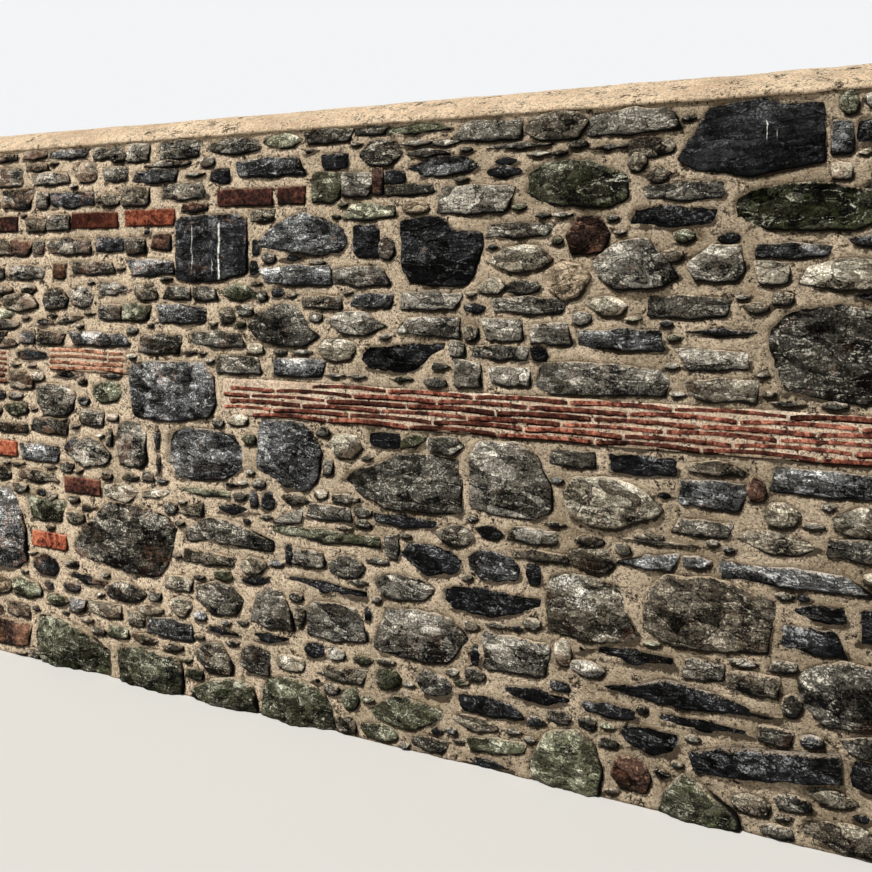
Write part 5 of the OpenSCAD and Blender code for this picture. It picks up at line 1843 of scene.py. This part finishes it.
@dataclass
class TileBand:
    """A band of thin cambered tiles in their bedding."""

    tiles: str
    bedding: str
    mortar: MortarFinish
    seed: int
    clay: ClayFinish = CLAY_TILE
    proud: float = 0.0045
    shown_depth: float = 0.03
    thick: float = 0.0106
    whole_length: float = 0.265
    camber: float = 0.006
    SECTION = ((0.09, -1.25), (0.0, -0.9), (0.0, -0.3), (0.0, 0.3), (0.02, 0.85), (0.12, 1.0),
               (0.5, 1.0), (1.0, 1.0), (1.0, -1.95), (0.12, -1.95))

    def outline(self) -> Outline:
        """Outline of the bedding on the face."""
        return Outline.boxed(*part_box(self.bedding))

    def lay_tile(self, bench: Bench, low: Vector, high: Vector, rng: np.random.Generator) -> None:
        """Adds one tile, bowed as the real ones are.

        Args:
            bench: The tiles' mesh.
            low: Lowest corner of the CAD tile.
            high: Highest corner of the CAD tile.
            rng: Source of its small differences.
        """
        length, thick = high.x - low.x, self.thick + rng.uniform(-0.0015, 0.001)
        camber = self.camber * (length / self.whole_length) ** 2 * rng.uniform(0.4, 1.2)
        tilt = rng.uniform(-0.010, 0.010)
        centre = Vector(((low.x + high.x) / 2, 0, low.z + 0.0065))
        out, tint = self.proud + rng.uniform(-0.0015, 0.0015), rng.uniform(-1, 1)
        layer, along = rng.uniform(0, 90), max(6, round(length / 0.011))

        def shape(square: np.ndarray) -> tuple[np.ndarray, dict]:
            """Shapes a bar with softened arrises and a broken edge.

            Args:
                square: Spots of the square.

            Returns:
                Places and own values.
            """
            u = square[:, 0] * length / 2
            row = np.round((square[:, 1] + 1) / 2 * len(self.SECTION)).astype(int)
            back, w = np.array(self.SECTION)[row % len(self.SECTION)].T
            end = 1 - 0.2 * eased(np.abs(square[:, 0]), 0.95, 1.0)
            bow = camber * (1 - (2 * u / length) ** 2)
            rise = w * end * thick / 2 + bow + tilt * u
            places = np.column_stack([centre.x + u, back, centre.z + rise])
            chips = RELIEF.at(places + layer, 0.014, 3)
            places[:, 1] = back * self.shown_depth - HALF_THICKNESS - out
            places[:, 1] += np.where(back < 0.2, 0.0018 * chips + 0.001, 0)
            places[:, 2] += RELIEF.at(places + layer + 5, 0.03, 3) * 0.0016
            near = eased(np.abs(square[:, 0]), 0.9, 1.0)
            # The lower lip is painted as the shadow under the tile, and the face is painted darker
            # towards its bottom and lighter towards its top
            lift = np.where(w < -1, -1.0, 0.3 * w) * (back < 0.2)
            return places, {"tint": tint, "rim": near, "lift": lift,
                            "worn": np.clip(chips, -1, 1)}

        bench.tube((along, len(self.SECTION)), shape)

    def build(self) -> None:
        """Makes the tiles and the bedding."""
        rng = np.random.default_rng(self.seed)
        bench = Bench(self.tiles + "_laid")
        for low, high in boxes_of(self.tiles):
            self.lay_tile(bench, low, high, rng)
        bench.finish(self.clay, self.tiles)
        outline = self.outline().worn(self.seed, 0.003, 0.002, 0.003)
        bench = Bench(self.bedding + "_face")
        Stone(outline, BED.value, PALE, self.seed, 0.0008, 0.0, BEDDING_CELL).build(
            bench, HALF_THICKNESS, BEDDING_DEEP)
        bench.finish(self.mortar, self.bedding)


@dataclass
class Bricks:
    """The odd bricks of the face."""

    node: str
    finish: ClayFinish
    seed: int
    shades: tuple[float, ...]

    def outlines(self) -> list[Outline]:
        """Outline of each brick."""
        return [Outline.boxed(*box).worn(self.seed + i, 0.003, 0.002)
                for i, box in enumerate(boxes_of(self.node))]

    def build(self) -> None:
        """Makes the bricks as one piece."""
        bench = Bench(self.node + "_face")
        for i, outline in enumerate(self.outlines()):
            Stone(outline, BRICK.value, RUSTY, self.seed + i, 0.004, 0.0, BRICK_CELL,
                  self.shades[i]).build(bench, HALF_THICKNESS, BRICK_DEEP)
        bench.finish(self.finish, self.node)


@dataclass
class Capping:
    """The rounded mortar that runs along the top."""

    half_width: float = 0.233
    edge: float = 0.014
    rise: float = 0.10
    cell: float = 0.014
    rows: int = 48
    dent_out: float = 0.62
    dent_up: float = 0.159
    deepest_dent: float = 0.012

    def profile(self) -> np.ndarray:
        """Points once round the capping's section, from the middle of its underside.

        Returns:
            Rows of Y and Z, equally far apart over the top and few below.
        """
        arc_rise = self.rise - self.edge
        radius = (self.half_width ** 2 + arc_rise ** 2) / (2 * arc_rise)
        spread = math.asin(self.half_width / radius)
        swing = np.linspace(-spread, spread, 160)
        arc = np.column_stack([radius * np.sin(swing),
                               self.rise - radius + radius * np.cos(swing)])
        left = np.column_stack([np.full(12, -self.half_width), np.linspace(0, self.edge, 12)])
        right = left[::-1] * (-1, 1)
        outer = np.vstack([left, arc[1:-1], right])
        for _ in range(24):
            outer[1:-1] = (outer[:-2] + 2 * outer[1:-1] + outer[2:]) / 4
        run = np.concatenate([[0], np.cumsum(np.linalg.norm(np.diff(outer, axis=0), axis=1))])
        even = np.linspace(0, run[-1], self.rows - 5)
        outer = np.column_stack([np.interp(even, run, outer[:, axis]) for axis in (0, 1)])
        under = np.column_stack([np.linspace(self.half_width, -self.half_width, 7), np.zeros(7)])
        return np.vstack([outer, under[1:]])

    def build(self) -> None:
        """Makes the capping."""
        section = self.profile()
        count = round(2 * HALF_LENGTH / self.cell)

        def shape(square: np.ndarray) -> tuple[np.ndarray, dict]:
            """Shapes a trowelled crown with an uneven lower edge.

            Args:
                square: Spots of the square.

            Returns:
                Places and own values.
            """
            x = square[:, 0] * HALF_LENGTH
            row = np.round((square[:, 1] + 1) / 2 * self.rows).astype(int)
            y, z = section[row % self.rows].T
            places = np.column_stack([x, y, z])
            dent = 0.003 + RELIEF.at(places, 0.13, 3) * 0.004 + RELIEF.at(places, 0.028, 3) * 0.0016
            dent = np.clip(dent, 0, self.deepest_dent) * eased(z, 0.0, 0.02)
            out = np.column_stack([x * 0, y * self.dent_out, x * 0 + self.dent_up])
            out /= np.linalg.norm(out, axis=1, keepdims=True)
            places -= out * dent[:, None]
            lip = RELIEF.at(np.column_stack([x, np.sign(y) * 3, x * 0]), 0.07, 3)
            low = 1 - eased(z, 0.0, 0.03)
            places[:, 2] += low * np.where(np.abs(y) > 0.2, lip * 0.005, 0)
            places[:, 1] -= np.sign(y) * low * np.clip(0.002 + lip * 0.002, 0, 0.006)
            places[:, 2] += MASONRY_HEIGHT
            # Seam and under along the lower edge make the mortar paint its shadow there
            return places, {"seam": 0.7 * low, "under": 0.25 * low, "worn": 0.5 - dent / 0.006}

        bench = Bench("capping_crown")
        bench.tube((count, self.rows), shape)
        bench.finish(CAP_MORTAR, "capping")


@dataclass
class EndStones:
    """The blocks that close a cut end, with smaller stones between them."""

    side: Side
    name: str
    seed: int
    proud: float = -0.006
    SIZES = ((0.05, 0.09, 0.07, 0.2, 1.0), (0.025, 0.045, 0.04, 0.12, 1.0))

    def build(self) -> None:
        """Makes the end."""
        node = self.name + "_stones"
        face = StoneFace(self.side, self.name, -HALF_THICKNESS, HALF_THICKNESS, END_CELL, self.seed)
        sign = -1 if self.side is Side.LEFT_END else 1
        for number, (low, high) in enumerate(boxes_of(node)):
            s0, s1 = sorted((sign * low.y, sign * high.y))
            kind = (GREY, DARK, BLUE)[number % 3]
            face.small((s0, s1, low.z + 0.001, high.z), SPLIT, kind)
        face.fill(MASONRY_HEIGHT - 0.012, self.SIZES)
        for stone in face.stones:
            stone.proud, stone.ground = self.proud, 0.0
        face.pieces(node)
        face.mortar([(HALF_THICKNESS, END_MORTAR_CELL)], END_MORTAR_CELL, inward=True)


@dataclass
class Studio:
    """Floor, backdrop, light and camera."""

    lens: float = 36.08
    camera_place: tuple[float, float, float] = (1.318, -2.527, 1.405)
    look: tuple[float, float, float] = (-0.4003, 0.9164, 0.0)
    shift: float = -0.1927

    def floor(self) -> None:
        """Plain pale floor."""
        bm = bmesh.new()
        bmesh.ops.create_grid(bm, x_segments=1, y_segments=1, size=40)
        mesh = bpy.data.meshes.new("studio_floor")
        bm.to_mesh(mesh)
        bm.free()
        sheet = Sheet(bpy.data.materials.new("studio_floor"))
        mesh.materials.append(sheet.shown(sheet.add("ShaderNodeBsdfPrincipled", {}, {
            "Base Color": tone(186, 183, 177), "Roughness": 0.9})))
        floor = bpy.data.objects.new("studio_floor", mesh)
        bpy.context.scene.collection.objects.link(floor)

    def sun(self, name: str, way: tuple[float, float, float], strength: float,
            spread: float) -> None:
        """Adds a soft sun.

        Args:
            name: Its name.
            way: Direction in which it shines.
            strength: Its strength.
            spread: Its width, in degrees.
        """
        light = bpy.data.lights.new(name, "SUN")
        light.energy, light.angle = strength, math.radians(spread)
        lamp = bpy.data.objects.new(name, light)
        lamp.rotation_mode = "QUATERNION"
        lamp.rotation_quaternion = Vector(way).to_track_quat("-Z", "Y")
        bpy.context.scene.collection.objects.link(lamp)

    def world(self) -> None:
        """Even light all round, and a pale backdrop for the camera."""
        s = Sheet(bpy.data.worlds.new("studio"))
        camera, glossy, through = (s.add("ShaderNodeLightPath", {}, {}, f"Is {ray} Ray")
                                   for ray in ("Camera", "Glossy", "Transmission"))
        light = s.add("ShaderNodeBackground", {}, {"Color": (0.98, 0.99, 1.0, 1),
                                                   "Strength": 0.24})
        seen = s.add("ShaderNodeBackground", {}, {"Color": (0.9, 0.91, 0.92, 1)})
        mix = s.add("ShaderNodeMixShader", {}, {0: camera.most(glossy).most(through), 1: light,
                                                2: seen})
        bpy.context.scene.world = s.shown(mix, "World")

    def camera(self) -> None:
        """The photograph's camera."""
        lens = bpy.data.cameras.new("camera")
        lens.sensor_width, lens.lens, lens.shift_y = 36.0, self.lens, self.shift
        camera = bpy.data.objects.new("camera", lens)
        camera.location = self.camera_place
        camera.rotation_mode = "QUATERNION"
        camera.rotation_quaternion = Vector(self.look).to_track_quat("-Z", "Y")
        bpy.context.scene.collection.objects.link(camera)
        bpy.context.scene.camera = camera

    def build(self) -> None:
        """Sets the studio up."""
        self.floor()
        self.sun("key_sun", (0.4, 0.58, -1.0), 5.2, 4.0)
        self.sun("back_sun", (-0.4, -0.8, -0.5), 0.5, 40.0)
        self.world()
        self.camera()
        bpy.context.scene.view_settings.view_transform = "Standard"


class Wall:
    """The whole wall, side by side."""

    SIZES = ((0.055, 0.08, 0.10, 0.24, 1.0), (0.035, 0.055, 0.07, 0.18, 1.0),
             (0.02, 0.03, 0.04, 0.12, 0.7))
    SLIVERS = (0.006, 0.012, 0.02, 0.07, 0.4)
    FILLED_TO = 1.822
    SEED = 11

    def __init__(self) -> None:
        """Reads the outlines of the large stones from the CAD model."""
        self.large = LargeStones()
        self.outlines = self.large.outlines()
        self.taken = [outline for group in self.outlines.values() for outline in group]

    def front(self) -> None:
        """The seen face with the tile bands, the bricks and the capping."""
        bands = (TileBand("long_band_tiles", "long_band_bedding", TILE_MORTAR, 61),
                 TileBand("short_band_tiles", "short_band_bedding", PALE_TILE_MORTAR, 62,
                          PALE_TILE),
                 TileBand("left_band_tiles", "left_band_bedding", PALE_TILE_MORTAR, 63,
                          PALE_TILE))
        bricks = (Bricks("red_bricks", RED_BRICK, 71, (0.9, 0.8, -2.0, -0.5)),
                  Bricks("dark_bricks", DARK_BRICK, 81, (1.0, -0.3, 0.0, -0.2)))
        face = StoneFace(Side.FRONT, "front", -HALF_LENGTH, HALF_LENGTH, FRONT_CELL, self.SEED)
        face.holes = (self.taken + [band.outline() for band in bands]
                      + [outline for group in bricks for outline in group.outlines()])
        face.seen_list()
        face.fill(self.FILLED_TO, (*self.SIZES, self.SLIVERS))
        face.pieces("masonry")
        face.mortar([(SEEN_LOW, RUN_MORTAR_CELL), (SEEN_HIGH, FRONT_MORTAR_CELL),
                     (HALF_LENGTH, RUN_MORTAR_CELL)], FRONT_MORTAR_CELL)
        self.large.build(self.outlines)
        for part in (*bands, *bricks, Capping()):
            part.build()

    def back(self) -> None:
        """The unseen face, which repeats the seen one turned about."""
        face = StoneFace(Side.BACK, "back", -HALF_LENGTH, HALF_LENGTH, BACK_CELL, self.SEED)
        face.holes = list(self.taken)
        face.seen_list()
        face.fill(self.FILLED_TO, self.SIZES)
        face.pieces("masonry")
        face.mortar([(HALF_LENGTH, BACK_MORTAR_CELL)], BACK_MORTAR_CELL)
        self.large.build_back(self.outlines)

    def ends(self) -> None:
        """The two cut ends."""
        EndStones(Side.LEFT_END, "left_end", 301).build()
        EndStones(Side.RIGHT_END, "right_end", 401).build()


def main() -> None:
    """Builds the wall from its faces to its ends, then the studio."""
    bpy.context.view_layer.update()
    wall = Wall()
    wall.front()
    wall.back()
    wall.ends()
    Studio().build()


if __name__ == "__main__":
    main()
